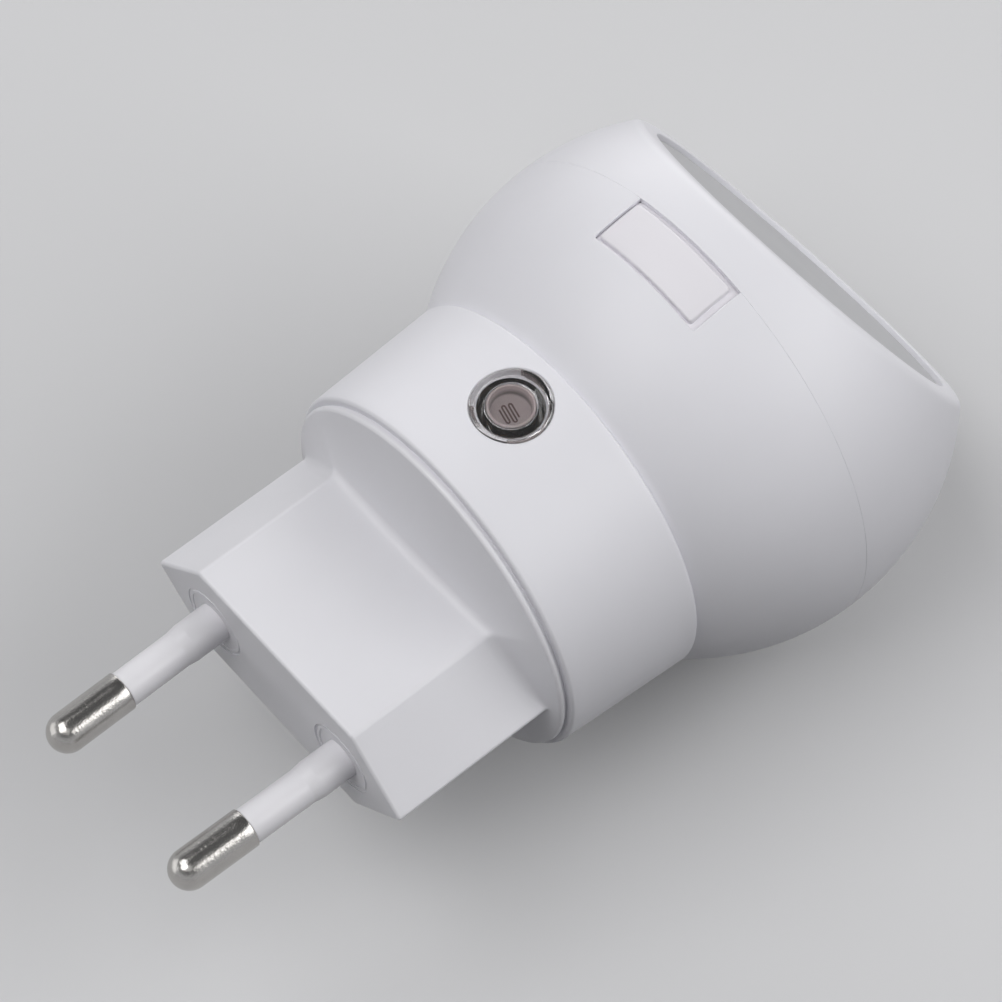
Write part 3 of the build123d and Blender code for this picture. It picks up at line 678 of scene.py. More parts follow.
def sew(mesh):
    """Merges meeting points, turns the faces outwards and makes sure that the mesh is closed."""
    work = bmesh.new()
    work.from_mesh(mesh)
    bmesh.ops.remove_doubles(work, verts=work.verts, dist=SEAM)
    bmesh.ops.recalc_face_normals(work, faces=work.faces)
    gaps = sum(not edge.is_manifold for edge in work.edges)
    work.to_mesh(mesh)
    work.free()
    if gaps:
        raise RuntimeError(f"{mesh.name} has {gaps} open edges")


def finish_piece(piece, material, body, node, sharp=SHARP):
    """Smooth shading with true edges kept, a finish, and a place in the frame. Sharp is an angle in degrees."""
    mesh = piece.data
    mesh.shade_smooth()
    mesh.set_sharp_from_angle(angle=radians(sharp))
    mesh.materials.append(material)
    smoothing = piece.modifiers.new("even_shading", "WEIGHTED_NORMAL")
    smoothing.keep_sharp = True
    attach(piece, body)
    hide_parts(node)
    return piece


def carve(piece, tools):
    """Cuts tool solids out of a piece and removes them."""
    for tool in tools:
        change = piece.modifiers.new(tool.name, "BOOLEAN")
        change.operation = "DIFFERENCE"
        change.solver = "EXACT"
        change.object = tool
    graph = bpy.context.evaluated_depsgraph_get()
    graph.update()
    result = bpy.data.meshes.new_from_object(piece.evaluated_get(graph))
    old = piece.data
    piece.modifiers.clear()
    piece.data = result
    result.name = piece.name
    for tool in tools:
        spent = tool.data
        bpy.data.objects.remove(tool)
        bpy.data.meshes.remove(spent)
    bpy.data.meshes.remove(old)
    sew(result)


# ------------------------------------------------------------------------------------ housing
# Columns over the opening's width and beside it, and rows along the notch, the ball and the front part.
ACROSS = 48
BESIDE = AROUND - ACROSS
NOTCH_ROWS = 20
BALL_ROWS = 25
BALL_INNER_ROWS = 21
FRONT_ROWS = 64
FRONT_INNER_ROWS = 40
RIM_STEPS = 12
JOINT_STEPS = 3
CROWD = 1.5
# Longest steps along the straight runs of each profile.
COLLAR_RUN = 0.6 * MM
INSIDE_RUN = 0.8 * MM
WELL_RUN = 1.2 * MM
LENS_RUN = 0.9 * MM


def crowded_across():
    """Fractions from -1 to 1 that crowd towards both ends: sign(u) (1 - (1 - |u|) ** CROWD)."""
    index = np.linspace(-1, 1, ACROSS + 1)
    return np.sign(index) * (1 - (1 - abs(index)) ** CROWD)


def ring_patch(along, half_x, half_y, hole):
    """Flat patch round a round hole, as offsets from the hole's centre.

    Indices u and v run from -2 to 2. The larger of |u| and |v| is 1 at the hole and 2 at the patch's edge, and a
    point lies that far along the line from the circle to the rectangle, in the direction of its indices.
    """
    v, u = np.meshgrid(along, np.linspace(-2, 2, ACROSS + 1), indexing="ij")
    reach = np.maximum(np.maximum(abs(u), abs(v)), 1)
    away = np.maximum(np.hypot(u, v), 1e-9)
    circle = hole * np.stack([u, v], axis=-1) / away[..., None]
    edge = np.stack([half_x * u, half_y * v], axis=-1) / reach[..., None]
    return circle + (edge - circle) * (reach - 1)[..., None]


def hole_wall(sensor, wide, cone, bore):
    """Stepped wall of the sensor's hole: rounded mouth, seat for the window, then the throat for its barrel.

    Its rings follow the hole's edge in the grid's patch. Cone and bore give the collar's outer and inner radius at a
    distance along the plug.
    """
    quarter = ACROSS // 4
    cells = ring_patch(np.linspace(-2, 2, ACROSS + 1), wide, sensor.patch, 1.0)
    cells = cells[quarter : 3 * quarter + 1, quarter : 3 * quarter + 1]
    ring = np.concatenate([cells[0, :-1], cells[:-1, -1], cells[-1, :0:-1], cells[:0:-1, 0], cells[:1, 0]])
    seat, throat = sensor.radius + sensor.seat_gap, sensor.barrel_radius + sensor.seat_gap
    inset, drop = edge_run(sensor.seat_edge)
    reach = np.concatenate([seat + inset, [seat - sensor.taper, throat, throat]])[:, None]
    x = reach * ring[:, 0]
    y = reach * ring[:, 1] - sensor.distance
    height = np.sqrt(cone(y) ** 2 - x**2)
    height[: EDGE_STEPS + 1] -= drop[:, None]
    height[-3:-1] = cone(-sensor.distance) + sensor.proud - sensor.flange - sensor.seat_gap
    height[-1] = np.sqrt(bore(y[-1]) ** 2 - x[-1] ** 2)
    return np.stack([x, y, height], axis=-1)


def notch_outline(hole, parting, sides, offset=0.0):
    """Rounded outline of the button's notch, grown by offset: up one side, across and down the other.

    Sides gives the heights of the points on a side, as shares of the way from the parting line to the notch's top.
    """
    wide, top = hole.opening_length / 2 + offset, parting + hole.opening_width + offset
    left = np.stack([np.full(NOTCH_ROWS + 1, -wide), parting + sides * (top - parting)], axis=1)
    across = np.stack([wide * crowded_across(), np.full(ACROSS + 1, top)], axis=1)
    points = np.concatenate([left[:-1], across, (left * (-1, 1))[-2::-1]])
    corner = hole.opening_corner + offset
    heart = np.stack([np.sign(points[:, 0]) * (wide - corner), np.full(len(points), top - corner)], axis=1)
    out = points - heart
    in_corner = (abs(points[:, 0]) > wide - corner) & (points[:, 1] > top - corner)
    away = np.maximum(np.linalg.norm(out, axis=1, keepdims=True), SEAM)
    return np.where(in_corner[:, None], heart + corner * out / away, points)


def notch_walls(body, hole, sides, ball):
    """Rows of the button's notch: its rounded edge, which starts in the parting groove, and its wall's foot.

    Ball gives the radius about the plug's axis at a distance along the plug.
    """
    rows = []
    for inset, drop in zip(*edge_run(hole.opening_edge)):
        flat = notch_outline(hole, -body.parting, sides, inset)
        surface = ball(flat[:, 1])
        surface[[0, -1]] -= body.groove
        rows.append(np.column_stack([flat, np.sqrt(surface**2 - flat[:, 0] ** 2) - drop]))
    flat = notch_outline(hole, -body.parting, sides)
    thin = ball(flat[:, 1], body.ball_radius - hole.thin_wall)
    rows.append(np.column_stack([flat, np.sqrt(thin**2 - flat[:, 0] ** 2)]))
    return np.array(rows)


def rear_housing(body, hole, sensor, material):
    """Collar and rear part of the ball, one closed skin.

    The closed profile turns about Y. Between the columns 0 and ACROSS the points stand at even widths instead of
    even angles, so that the button's notch and the sensor's hole fit the grid; the cells inside them are left out
    and their edges continue into rounded, walled strips.
    """
    centre, parting = -body.ball_distance, -body.parting
    near, far = -body.collar_start, -body.collar_start - body.collar_length
    slope = tan(body.collar_draft)
    edge = hole.opening_edge
    half = hole.opening_length / 2
    top = parting + hole.opening_width
    seat_end = -body.seat_end
    web = far + body.neck_web
    inner = body.ball_radius - body.wall

    def cone(y):
        return body.collar_radius + (near - y) * slope

    def bore(y):
        return cone(y) - body.wall

    def ball(y, radius=body.ball_radius):
        return np.sqrt(radius**2 - (y - centre) ** 2)

    def meridian(radius, first, last, steps):
        """Points on a ball, at even angles from one distance along the plug to another, without the first."""
        angle = np.linspace(asin((first - centre) / radius), asin((last - centre) / radius), steps + 1)[1:]
        return arc((0, centre), radius, angle)

    # Profile, from the parting line over the ball and the collar and back along the inside.
    part = 1 - (1 - even(NOTCH_ROWS - 1)) ** CROWD
    groove = body.groove / (top + edge - parting)
    sides = np.concatenate([[0], groove + (1 - groove) * part])
    notch_y = parting + sides * (top + edge - parting)
    notch_r = np.concatenate([[ball(parting) - body.groove], ball(notch_y[1:])])
    over = meridian(body.ball_radius, notch_y[-1], far, BALL_ROWS)
    low, high = -sensor.distance - sensor.patch, -sensor.distance + sensor.patch
    rise = rounded([(ball(far), far), (cone(far), far), (cone(low), low)], [body.collar_edge])
    patch_y = np.linspace(low, high, ACROSS + 1)
    rim = rounded([(cone(high), high), (cone(near), near), (body.seat_radius, near)], [body.collar_edge])
    inner_high, inner_low = -sensor.distance + sensor.inner_patch, -sensor.distance - sensor.inner_patch
    seat = [(body.seat_radius, near), (body.seat_radius, seat_end), (bore(inner_high), inner_high)]
    inner_y = np.linspace(inner_high, inner_low, ACROSS + 1)
    pocket_end = top + hole.lip + hole.pocket_gap
    end = [(bore(inner_low), inner_low), (bore(web), web), (ball(web, inner), web)]
    under = meridian(inner, web, pocket_end + hole.pocket_step, BALL_INNER_ROWS)
    back_y = np.concatenate([[pocket_end, 0.5 * (pocket_end + top)], (parting + sides * (top - parting))[::-1]])
    stretches = [
        np.stack([notch_r, notch_y], axis=1),
        over,
        refine(rise, COLLAR_RUN)[1:-1],
        np.stack([cone(patch_y), patch_y], axis=1),
        refine(rim, COLLAR_RUN)[1:],
        refine(np.array(seat), INSIDE_RUN)[1:-1],
        np.stack([bore(inner_y), inner_y], axis=1),
        refine(np.array(end), INSIDE_RUN)[1:],
        under,
        np.stack([ball(back_y, inner), back_y], axis=1),
    ]
    starts = np.cumsum([0] + [len(stretch) for stretch in stretches])
    path = np.concatenate(stretches)
    inside = np.arange(len(path)) >= starts[5]
    radius = np.repeat(path[:, :1], AROUND + 1, axis=1)
    along = np.repeat(path[:, 1:], AROUND + 1, axis=1)

    # Angles of the columns: even widths in front, even angles round the back.
    half_width = np.where(inside, half, half + edge)[:, None]
    side = np.arcsin(half_width / radius[:, :1])
    front = np.arcsin(half_width * crowded_across() / radius[:, :1])
    back = side + (2 * pi - 2 * side) * even(BESIDE)[1:]
    turn = np.concatenate([front, back], axis=1)

    # Thin wall over the button's lip, as a pocket in the inner surface.
    sideways = radius * np.sin(turn)
    behind_opening = (np.arange(len(path)) >= starts[9])[:, None] & (np.cos(turn) > 0)
    in_pocket = behind_opening & (abs(sideways) < half + hole.lip + hole.pocket_play)
    thinned = np.maximum((body.ball_radius - hole.thin_wall) ** 2 - (along - centre) ** 2, 0)
    radius = np.where(in_pocket, np.sqrt(thinned), radius)
    turn[:, : ACROSS + 1] = np.arcsin(half_width * crowded_across() / radius[:, : ACROSS + 1])
    turn[:, -1] = turn[:, 0]
    grid = np.stack([radius * np.sin(turn), along, radius * np.cos(turn)], axis=-1)

    # Round hole for the sensor: the patch of points about it, outside and inside.
    mouth = sensor.radius + sensor.seat_gap + sensor.seat_edge
    throat = sensor.barrel_radius + sensor.seat_gap
    index = np.linspace(-2, 2, ACROSS + 1)
    for start, order, size, hole_radius, surface, wide in (
        (starts[3], index, sensor.patch, mouth, cone, half + edge),
        (starts[6], -index, sensor.inner_patch, throat, bore, half),
    ):
        flat = ring_patch(order, wide, size, hole_radius)
        y = flat[..., 1] - sensor.distance
        rows = slice(start, start + ACROSS + 1)
        grid[rows, : ACROSS + 1] = np.stack([flat[..., 0], y, np.sqrt(surface(y) ** 2 - flat[..., 0] ** 2)], axis=-1)
    quarter = ACROSS // 4
    keep = np.ones((len(path) - 1, AROUND), bool)
    for start in (starts[3], starts[6]):
        keep[start + quarter : start + 3 * quarter, quarter : 3 * quarter] = False

    # Notch for the button, open at the parting line.
    strip = notch_walls(body, hole, sides, ball)
    keep[:NOTCH_ROWS, :ACROSS] = False
    keep[-NOTCH_ROWS:, :ACROSS] = False
    notch = np.arange(NOTCH_ROWS + 1)
    for rim_points, rows in ((strip[0], notch), (strip[-1], len(path) - 1 - notch)):
        grid[rows, 0] = rim_points[: NOTCH_ROWS + 1]
        grid[rows, AROUND] = rim_points[: NOTCH_ROWS + 1]
        grid[rows[-1], : ACROSS + 1] = rim_points[NOTCH_ROWS : NOTCH_ROWS + ACROSS + 1]
        grid[rows, ACROSS] = rim_points[-NOTCH_ROWS - 1 :][::-1]

    # Flat joint face, between the outer and the inner end of the skin.
    joint = between(grid[0, ACROSS:], grid[-1, ACROSS:], len(strip) - 1)
    joint[:, 0] = strip[:, -1]
    joint[:, -1] = strip[:, 0]
    grids = [(grid, keep), hole_wall(sensor, half + edge, cone, bore), strip, joint]
    return build("rear_housing", grids, material, HOUSING, "rear_shell")


def front_housing(body, face, hole, material):
    """Front part of the ball with the tilted rim, the lens seat and the cup for the LED board.

    Between the parting circle and the circle where the rim's rounding starts, the rows lie on the ball, at even
    angles on the great arc that joins the two points of a column. All other rows are circles about the face's axis.
    """
    centre, parting = -body.ball_distance, -body.parting
    outer = body.ball_radius
    inner = outer - body.wall
    around = even(AROUND, 2 * pi)
    heart = np.array([0, centre, 0])

    def circle_about_y(radius, y):
        return np.stack([radius * np.sin(around), np.full_like(around, y), radius * np.cos(around)], axis=-1)

    def great_arcs(first, last, steps):
        """Rows between two circles on one ball: sin((1 - t) w) a + sin(t w) b over sin w, with w between a and b."""
        a, b = first - heart, last - heart
        radius = np.linalg.norm(a, axis=1, keepdims=True)
        opening = np.arccos(np.clip((a * b).sum(1, keepdims=True) / radius**2, -1, 1))
        t = even(steps)[:, None, None]
        return heart + (np.sin((1 - t) * opening) * a + np.sin(t * opening) * b) / np.sin(opening)

    rim_radius = face.rim_rounding
    rim_level = face.distance - rim_radius
    rim_centre = sqrt((outer - rim_radius) ** 2 - rim_level**2)
    start = asin(rim_level / (outer - rim_radius))
    rounding = arc((rim_centre, rim_level), rim_radius, np.linspace(start, pi / 2, RIM_STEPS + 1))
    pocket = face.lens_radius + face.lens_gap
    cup = face.skirt_radius + face.lens_gap
    cup_outer = cup + face.cup_wall
    seat = face.distance - face.recess - face.lens_thick
    ledge = seat - face.ledge
    board_back = seat - face.skirt_length - face.board_thick
    lip_back = board_back - face.cup_lip_thick
    corners = [
        tuple(rounding[-1]),
        (pocket, face.distance),
        (pocket, seat),
        (cup, seat),
        (cup, board_back),
        (cup - face.cup_lip, board_back),
        (cup - face.cup_lip, lip_back),
        (cup_outer, lip_back),
        (cup_outer, ledge),
        (sqrt(inner**2 - ledge**2), ledge),
    ]
    lens_well = refine(rounded(corners, [face.inner_edge] + [0] * 7, steps=4), WELL_RUN)
    skin = about_face(profile(rounding, lens_well), face, centre)

    groove_y = parting - body.groove
    groove = circle_about_y(sqrt(outer**2 - (parting - centre) ** 2) - body.groove, parting)
    shore = circle_about_y(sqrt(outer**2 - (groove_y - centre) ** 2), groove_y)
    outside = great_arcs(shore, skin[0], FRONT_ROWS)
    joint = circle_about_y(sqrt(inner**2 - (parting - centre) ** 2), parting)
    inside = great_arcs(skin[-1], joint, FRONT_INNER_ROWS)

    # Pocket over the button's lip, in the inner surface.
    offset = inside - heart
    level = -offset[..., 1] * cos(face.tilt) + offset[..., 2] * sin(face.tilt)
    past = hole.lip + hole.pocket_play
    thinned = (abs(offset[..., 0]) < hole.opening_length / 2 + past) & (offset[..., 2] > 0)
    thinned &= (inside[..., 1] > parting - past) & (level < ledge - HAIR)
    lift = np.where(thinned, (outer - hole.thin_wall) / inner, 1.0)[..., None]
    inside = heart + offset * lift
    inside[-1, :, 1] = parting
    joint_face = between(inside[-1], groove, JOINT_STEPS)
    grids = [np.concatenate([groove[None], outside, skin[1:], inside[1:], joint_face[1:]])]
    return build("front_housing", grids, material, HOUSING, "front_bezel")


def milky_lens(face, centre, material):
    """Disc with a rounded front edge and a skirt behind, turned about the face's axis."""
    seat = face.distance - face.recess - face.lens_thick
    front = seat + face.lens_thick
    foot = seat - face.skirt_length
    bore = face.skirt_radius - face.skirt_wall
    corners = [
        (0, front),
        (face.lens_radius, front),
        (face.lens_radius, seat),
        (face.skirt_radius, seat),
        (face.skirt_radius, foot),
        (bore, foot),
        (bore, seat),
        (0, seat),
    ]
    path = refine(rounded(corners, [face.lens_edge] + [0] * 5), LENS_RUN)
    return build("milky_lens", [about_face(path, face, centre)], material, HOUSING, "diffuser_lens")


# ------------------------------------------------------------------------------------ button
# Rows on the button's top, steps in a turn of the spring and sides of its wire.
BUTTON_ROWS = 14
SPRING_STEPS = 48
WIRE_SIDES = 12


def box_loop(half_x, half_y, corner, side_steps=(26, 10), corner_steps=EDGE_STEPS):
    """Closed loop round a rectangle with rounded corners, from even steps on its sides and arcs at its corners."""
    heart = np.array([half_x - corner, half_y - corner])
    bend = arc(heart, corner, even(corner_steps, pi / 2))
    x, y = (np.linspace(start, -start, steps + 1)[1:-1] for start, steps in zip(heart, side_steps))
    long_run = np.column_stack([x, np.full_like(x, half_y)])
    short_run = np.column_stack([np.full_like(y, -half_x), y])
    half = np.concatenate([bend, long_run, (bend * (-1, 1))[::-1], short_run])
    return np.concatenate([half, -half, half[:1]])


def push_button(body, face, hole, material):
    """Push button, closed at both poles.

    Rectangular loops on the ball grow from the button's middle to its rounded edge, run down the sides, out over
    the hidden lip and back to the round stem and its foot.
    """
    centre = -body.ball_distance
    middle = np.array([hole.offset_x, -body.parting + hole.opening_width / 2 + hole.offset_y])
    half_x, half_y = hole.cap_length / 2, hole.cap_width / 2
    lip_x = hole.opening_length / 2 + hole.lip
    lip_y = hole.opening_width / 2 + hole.lip
    lip_top = body.ball_radius - hole.thin_wall - hole.lip_gap
    lip_under = lip_top - hole.lip_thick
    lip_middle = np.array([0, -body.parting + hole.opening_width / 2])

    def on_ball(flat, radius, drop=0.0):
        """Lifts flat points onto a ball about the housing's centre and lowers them by drop."""
        height = np.sqrt(radius**2 - flat[:, 0] ** 2 - (flat[:, 1] - centre) ** 2) - drop
        return np.column_stack([flat, height])

    def trimmed(points):
        """Keeps the lip clear of the ledge that carries the lens."""
        limit = face.distance - face.recess - face.lens_thick - face.ledge - hole.lip_gap
        back = centre + (points[:, 2] * sin(face.tilt) - limit) / cos(face.tilt)
        return np.column_stack([points[:, 0], np.maximum(points[:, 1], back), points[:, 2]])

    edge = hole.cap_edge
    loops = []
    outline = box_loop(half_x - edge, half_y - edge, hole.cap_corner - edge)
    for share in even(BUTTON_ROWS)[:-1]:
        loops.append(on_ball(middle + outline * share, body.ball_radius))
    for inset, drop in zip(*edge_run(edge)):
        outline = box_loop(half_x - inset, half_y - inset, hole.cap_corner - inset)
        loops.append(on_ball(middle + outline, body.ball_radius, drop))
    land = body.ball_radius - hole.land_drop
    loops.append(on_ball(middle + outline, land))
    land_x, land_y = hole.opening_length / 2 - hole.land_gap, hole.opening_width / 2 - hole.land_gap
    outline = box_loop(land_x, land_y, hole.opening_corner)
    loops.append(on_ball(lip_middle + outline, land))
    loops.append(on_ball(lip_middle + outline, lip_top))
    wide = box_loop(lip_x, lip_y, hole.lip_corner)
    loops.append(trimmed(on_ball(lip_middle + wide, lip_top)))
    loops.append(trimmed(on_ball(lip_middle + wide, lip_under)))
    angle = np.arctan2(outline[:, 1] / half_y, outline[:, 0] / half_x)
    round_loop = np.column_stack([np.cos(angle), np.sin(angle)])
    stem = middle + round_loop * hole.stem_radius
    loops.append(on_ball(stem, lip_under))
    foot_top = hole.foot_level + hole.foot_thick
    for radius, height in (
        (hole.stem_radius, foot_top),
        (hole.foot_radius, foot_top),
        (hole.foot_radius, hole.foot_level),
        (0, hole.foot_level),
    ):
        loops.append(np.column_stack([middle + round_loop * radius, np.full(len(round_loop), height)]))
    return build("push_button", [np.array(loops)], material, BUTTON, "switch_button")


def coil_spring(body, hole, material):
    """Round wire about a helix, closed at both ends.

    At the turn t, the helix is at (R cos t, R sin t, s R t) for the slope s. The wire's circle spans o = (cos t,
    sin t, 0) and b = (s sin t, -s cos t, 1) / sqrt(1 + s ** 2), which are square to the helix and to each other.
    """
    room = hole.foot_level - hole.switch_level
    foot = [hole.offset_x, -body.parting + hole.opening_width / 2 + hole.offset_y, hole.switch_level]
    sweep = 2 * pi * hole.spring_turns
    slope = (room - 2 * (hole.spring_wire + hole.spring_gap)) / (sweep * hole.spring_radius)
    turn = even(round(SPRING_STEPS * hole.spring_turns), sweep)
    zero = np.zeros_like(turn)
    rise = hole.spring_wire + hole.spring_gap + slope * hole.spring_radius * turn
    outward = np.stack([np.cos(turn), np.sin(turn), zero], axis=1)
    across = np.stack([slope * np.sin(turn), -slope * np.cos(turn), zero + 1], axis=1) / sqrt(1 + slope**2)
    line = foot + hole.spring_radius * outward + np.stack([zero, zero, rise], axis=1)
    angle = even(WIRE_SIDES, 2 * pi)[:, None, None]
    tube = line + hole.spring_wire * (np.cos(angle) * outward + np.sin(angle) * across)
    ends = np.broadcast_to(line[None], tube.shape)
    grid = np.concatenate([ends[:, :1], tube, ends[:, -1:]], axis=1)
    piece = build("coil_spring", [grid], material, HOUSING, "button_spring")
    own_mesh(piece)
    return piece


# ------------------------------------------------------------------------------------ plug
ARC_STEPS = 8
RAY_ANGLE = radians(1.8)
AROUND_PIN = 96
DOME_STEPS = 18
# Rows on the plug's end, body and flange, and the angle, in degrees, from which its edges stay sharp.
END_ROWS = 8
BODY_ROWS = 15
FLANGE_ROWS = 9
PLUG_SHARP = 28.0
# Longest steps along the straight runs of each profile.
RING_RUN = 1.5 * MM
RECESS_RUN = 3 * MM
PIN_RUN = 1.2 * MM
SLEEVE_RUN = 0.7 * MM
# The least rounding of a ridge, the longest bend before the flange as a share of the way to its edge, how far a
# cutting tool reaches past the face, the hairline between parts that are moulded round each other, and where the
# sleeve's closed profile starts on its bore.
LEAST_RIDGE = 0.04 * MM
BEND_SHARE = 0.3
OVERCUT = 1 * MM
MOULDED_GAP = 0.02 * MM
SLEEVE_START = 0.5 * MM


def hexagon_loops(plug, inset):
    """Rounded six-sided loops of (x, z) points, one for each inset, which draws all six sides in by one distance.

    The corners are (+-W/2, 0) and (+-F/2, +-T/2). Each becomes an arc whose centre is on its bisector, at radius /
    sin(half the angle). On a side, the points stand where rays at even angles from the axis cross it.
    """
    slope = (plug.thick / 2) / (plug.width / 2 - plug.flat / 2)
    wide = plug.width / 2 - inset * sqrt(1 + slope**2) / slope
    high = plug.thick / 2 - inset
    flat = wide - high / slope
    zero = np.zeros_like(wide)
    x = np.stack([wide, flat, -flat, -wide, -flat, flat], axis=1)
    z = np.stack([zero, high, high, zero, -high, -high], axis=1)
    corners = np.stack([x, z], axis=-1)
    radii = np.array([plug.side_edge, plug.ridge, plug.ridge] * 2)
    radii = np.maximum(radii - inset[:, None], LEAST_RIDGE)[..., None]
    back = np.roll(corners, 1, axis=1) - corners
    on = np.roll(corners, -1, axis=1) - corners
    back /= np.linalg.norm(back, axis=-1, keepdims=True)
    on /= np.linalg.norm(on, axis=-1, keepdims=True)
    half = 0.5 * np.arccos((back * on).sum(-1, keepdims=True))
    middle = back + on
    centre = corners + middle / np.linalg.norm(middle, axis=-1, keepdims=True) * radii / np.sin(half)
    spoke = corners + back * radii / np.tan(half) - centre
    turn = (pi - 2 * half) * even(ARC_STEPS)
    x = spoke[..., :1] * np.cos(turn) - spoke[..., 1:] * np.sin(turn)
    z = spoke[..., :1] * np.sin(turn) + spoke[..., 1:] * np.cos(turn)
    arcs = centre[:, :, None] + np.stack([x, z], axis=-1)
    stretches = []
    for corner in range(6):
        start, stop = arcs[:, corner, -1:], arcs[:, (corner + 1) % 6, :1]
        first, last = (np.arctan2(point[..., 1], point[..., 0]) for point in (start, stop))
        swept = (last - first) % (2 * pi)
        steps = round(float(swept[0, 0]) / RAY_ANGLE)
        angle = first + swept * even(steps)[1:-1]
        run = stop - start
        far = start[..., 0] * np.sin(angle) - start[..., 1] * np.cos(angle)
        far = far / (run[..., 1] * np.cos(angle) - run[..., 0] * np.sin(angle))
        stretches += [arcs[:, corner], start + run * far[..., None]]
    loop = np.concatenate(stretches, axis=1)
    return np.concatenate([loop, loop[:, :1]], axis=1)


def at_pin(points, pins, side):
    """Moves points of an upright pin to its place: the two pins lean together by the same small angle."""
    lean = side * asin((pins.spacing - pins.tip_spacing) / 2 / pins.length)
    x, y, z = np.moveaxis(points, -1, 0)
    leant = np.stack([x * cos(lean) - y * sin(lean), x * sin(lean) + y * cos(lean), z], axis=-1)
    return leant + (side * pins.spacing / 2, 0, 0)


def plug_moulding(plug, pins, material):
    """Six-sided body that meets the flange's low slope, with the snap ring behind, all one skin.

    A column of the skin keeps its direction from the axis. It runs along the body at the outline's radius r, until
    the smaller of foot and (R - r) tan(cone) in front of the flange. There it bends, as (1 - u) ** 2 a +
    2 u (1 - u) b + u ** 2 c with b the corner, and runs straight to the flange's edge. The flange and the ring are
    circles.
    """
    end = -plug.depth
    edge = plug.face_edge
    slope = tan(plug.cone)
    inset, drop = edge_run(edge, ARC_STEPS)
    loops = hexagon_loops(plug, inset)
    front = np.insert(loops, 1, 0, axis=-1) - drop[:, None, None] * (0, 1, 0)
    shrink = even(END_ROWS)[:-1, None, None]
    cap = front[:1] * np.concatenate([shrink, 0 * shrink + 1, shrink], axis=-1)

    # Flange and ring as a profile that comes down the cone.
    flange_back = end - plug.flange_thick
    groove_end = flange_back - plug.shoulder_depth
    ring_end = flange_back - plug.spigot_length
    ring = plug.spigot_radius
    floor = end - plug.floor
    corners = [
        (plug.flat / 2, end + (plug.flange_radius - plug.flat / 2) * slope),
        (plug.flange_radius, end),
        (plug.flange_radius, flange_back),
        (plug.flange_radius - plug.shoulder, flange_back),
        (plug.flange_radius - plug.shoulder, groove_end),
        (ring, groove_end),
        (ring, ring_end),
        (ring - plug.spigot_wall, ring_end),
        (ring - plug.spigot_wall, floor),
        (0, floor),
    ]
    rim = refine(rounded(corners, [plug.flange_edge, 0, 0, 0, 0, plug.spigot_edge, 0, 0])[1:], RING_RUN)

    # Body, bend and slope of each column, as (radius, along).
    reach = np.hypot(loops[-1, :, 0], loops[-1, :, 1])
    way = loops[-1] / reach[:, None]
    corner = np.stack([reach, end + np.minimum(plug.foot, (plug.flange_radius - reach) * slope)], axis=1)
    onward = rim[0] - corner
    bend = np.minimum(plug.sweep, BEND_SHARE * np.linalg.norm(onward, axis=1))[:, None]
    first = corner + bend * (0, 1)
    last = corner + bend * onward / np.linalg.norm(onward, axis=1, keepdims=True)
    share = even(ARC_STEPS)[:, None, None]
    curve = (1 - share) ** 2 * first + 2 * share * (1 - share) * corner + share**2 * last
    body = between(np.stack([reach, 0 * reach - edge], axis=1), first, BODY_ROWS)[1:-1]
    face = between(last, rim[0], FLANGE_ROWS)[1:]
    circles = np.broadcast_to(rim[1:, None], (len(rim) - 1, len(reach), 2))
    path = np.concatenate([body, curve, face, circles])
    skin = np.stack([path[..., 0] * way[:, 0], path[..., 1], path[..., 0] * way[:, 1]], axis=-1)
    piece = sewn("plug_moulding", [np.concatenate([cap, front, skin])])

    # Round recess with its bead about each pin, and the hole that holds the sleeve.
    hold = pins.root_radius + MOULDED_GAP
    recess = [
        (0, OVERCUT),
        (plug.ring_radius, OVERCUT),
        (plug.ring_radius, -plug.ring_depth),
        (plug.bead_outer, -plug.ring_depth),
        (plug.bead_outer, -plug.bead_depth),
        (plug.bead_inner, -plug.bead_depth),
        (plug.bead_inner, -plug.ring_depth),
        (hold, -plug.ring_depth),
        (hold, -pins.embedded),
        (0, -pins.embedded),
    ]
    path = refine(rounded(recess, [0] + [plug.ring_edge] * 6 + [plug.hold_edge], steps=3), RECESS_RUN)
    tool = turned(path, AROUND_PIN)
    carve(piece, [sewn(f"recess_{side}", [at_pin(tool, pins, side)]) for side in (1, -1)])
    return finish_piece(piece, material, HOUSING, "plug_insert", PLUG_SHARP)


def round_pin(pins, side, name, material):
    """Pin with a domed tip and a reduced shank, turned and leant."""
    tip, shank = pins.radius, pins.shank
    dome = arc((0, pins.length - tip), tip, even(DOME_STEPS, pi / 2)[::-1])
    corners = [
        tuple(dome[-1]),
        (tip, pins.sleeve_length),
        (shank, pins.sleeve_length),
        (shank, -pins.tail + pins.head_thick),
        (pins.head_radius, -pins.tail + pins.head_thick),
        (pins.head_radius, -pins.tail),
        (0, -pins.tail),
    ]
    path = refine(profile(dome, rounded(corners, [pins.tip_edge, 0, 0, 0, pins.head_edge], steps=4)), PIN_RUN)
    grids = [at_pin(turned(path, AROUND_PIN), pins, side)]
    return build(f"round_pin_{name}", grids, material, HOUSING, f"pin_{name}")


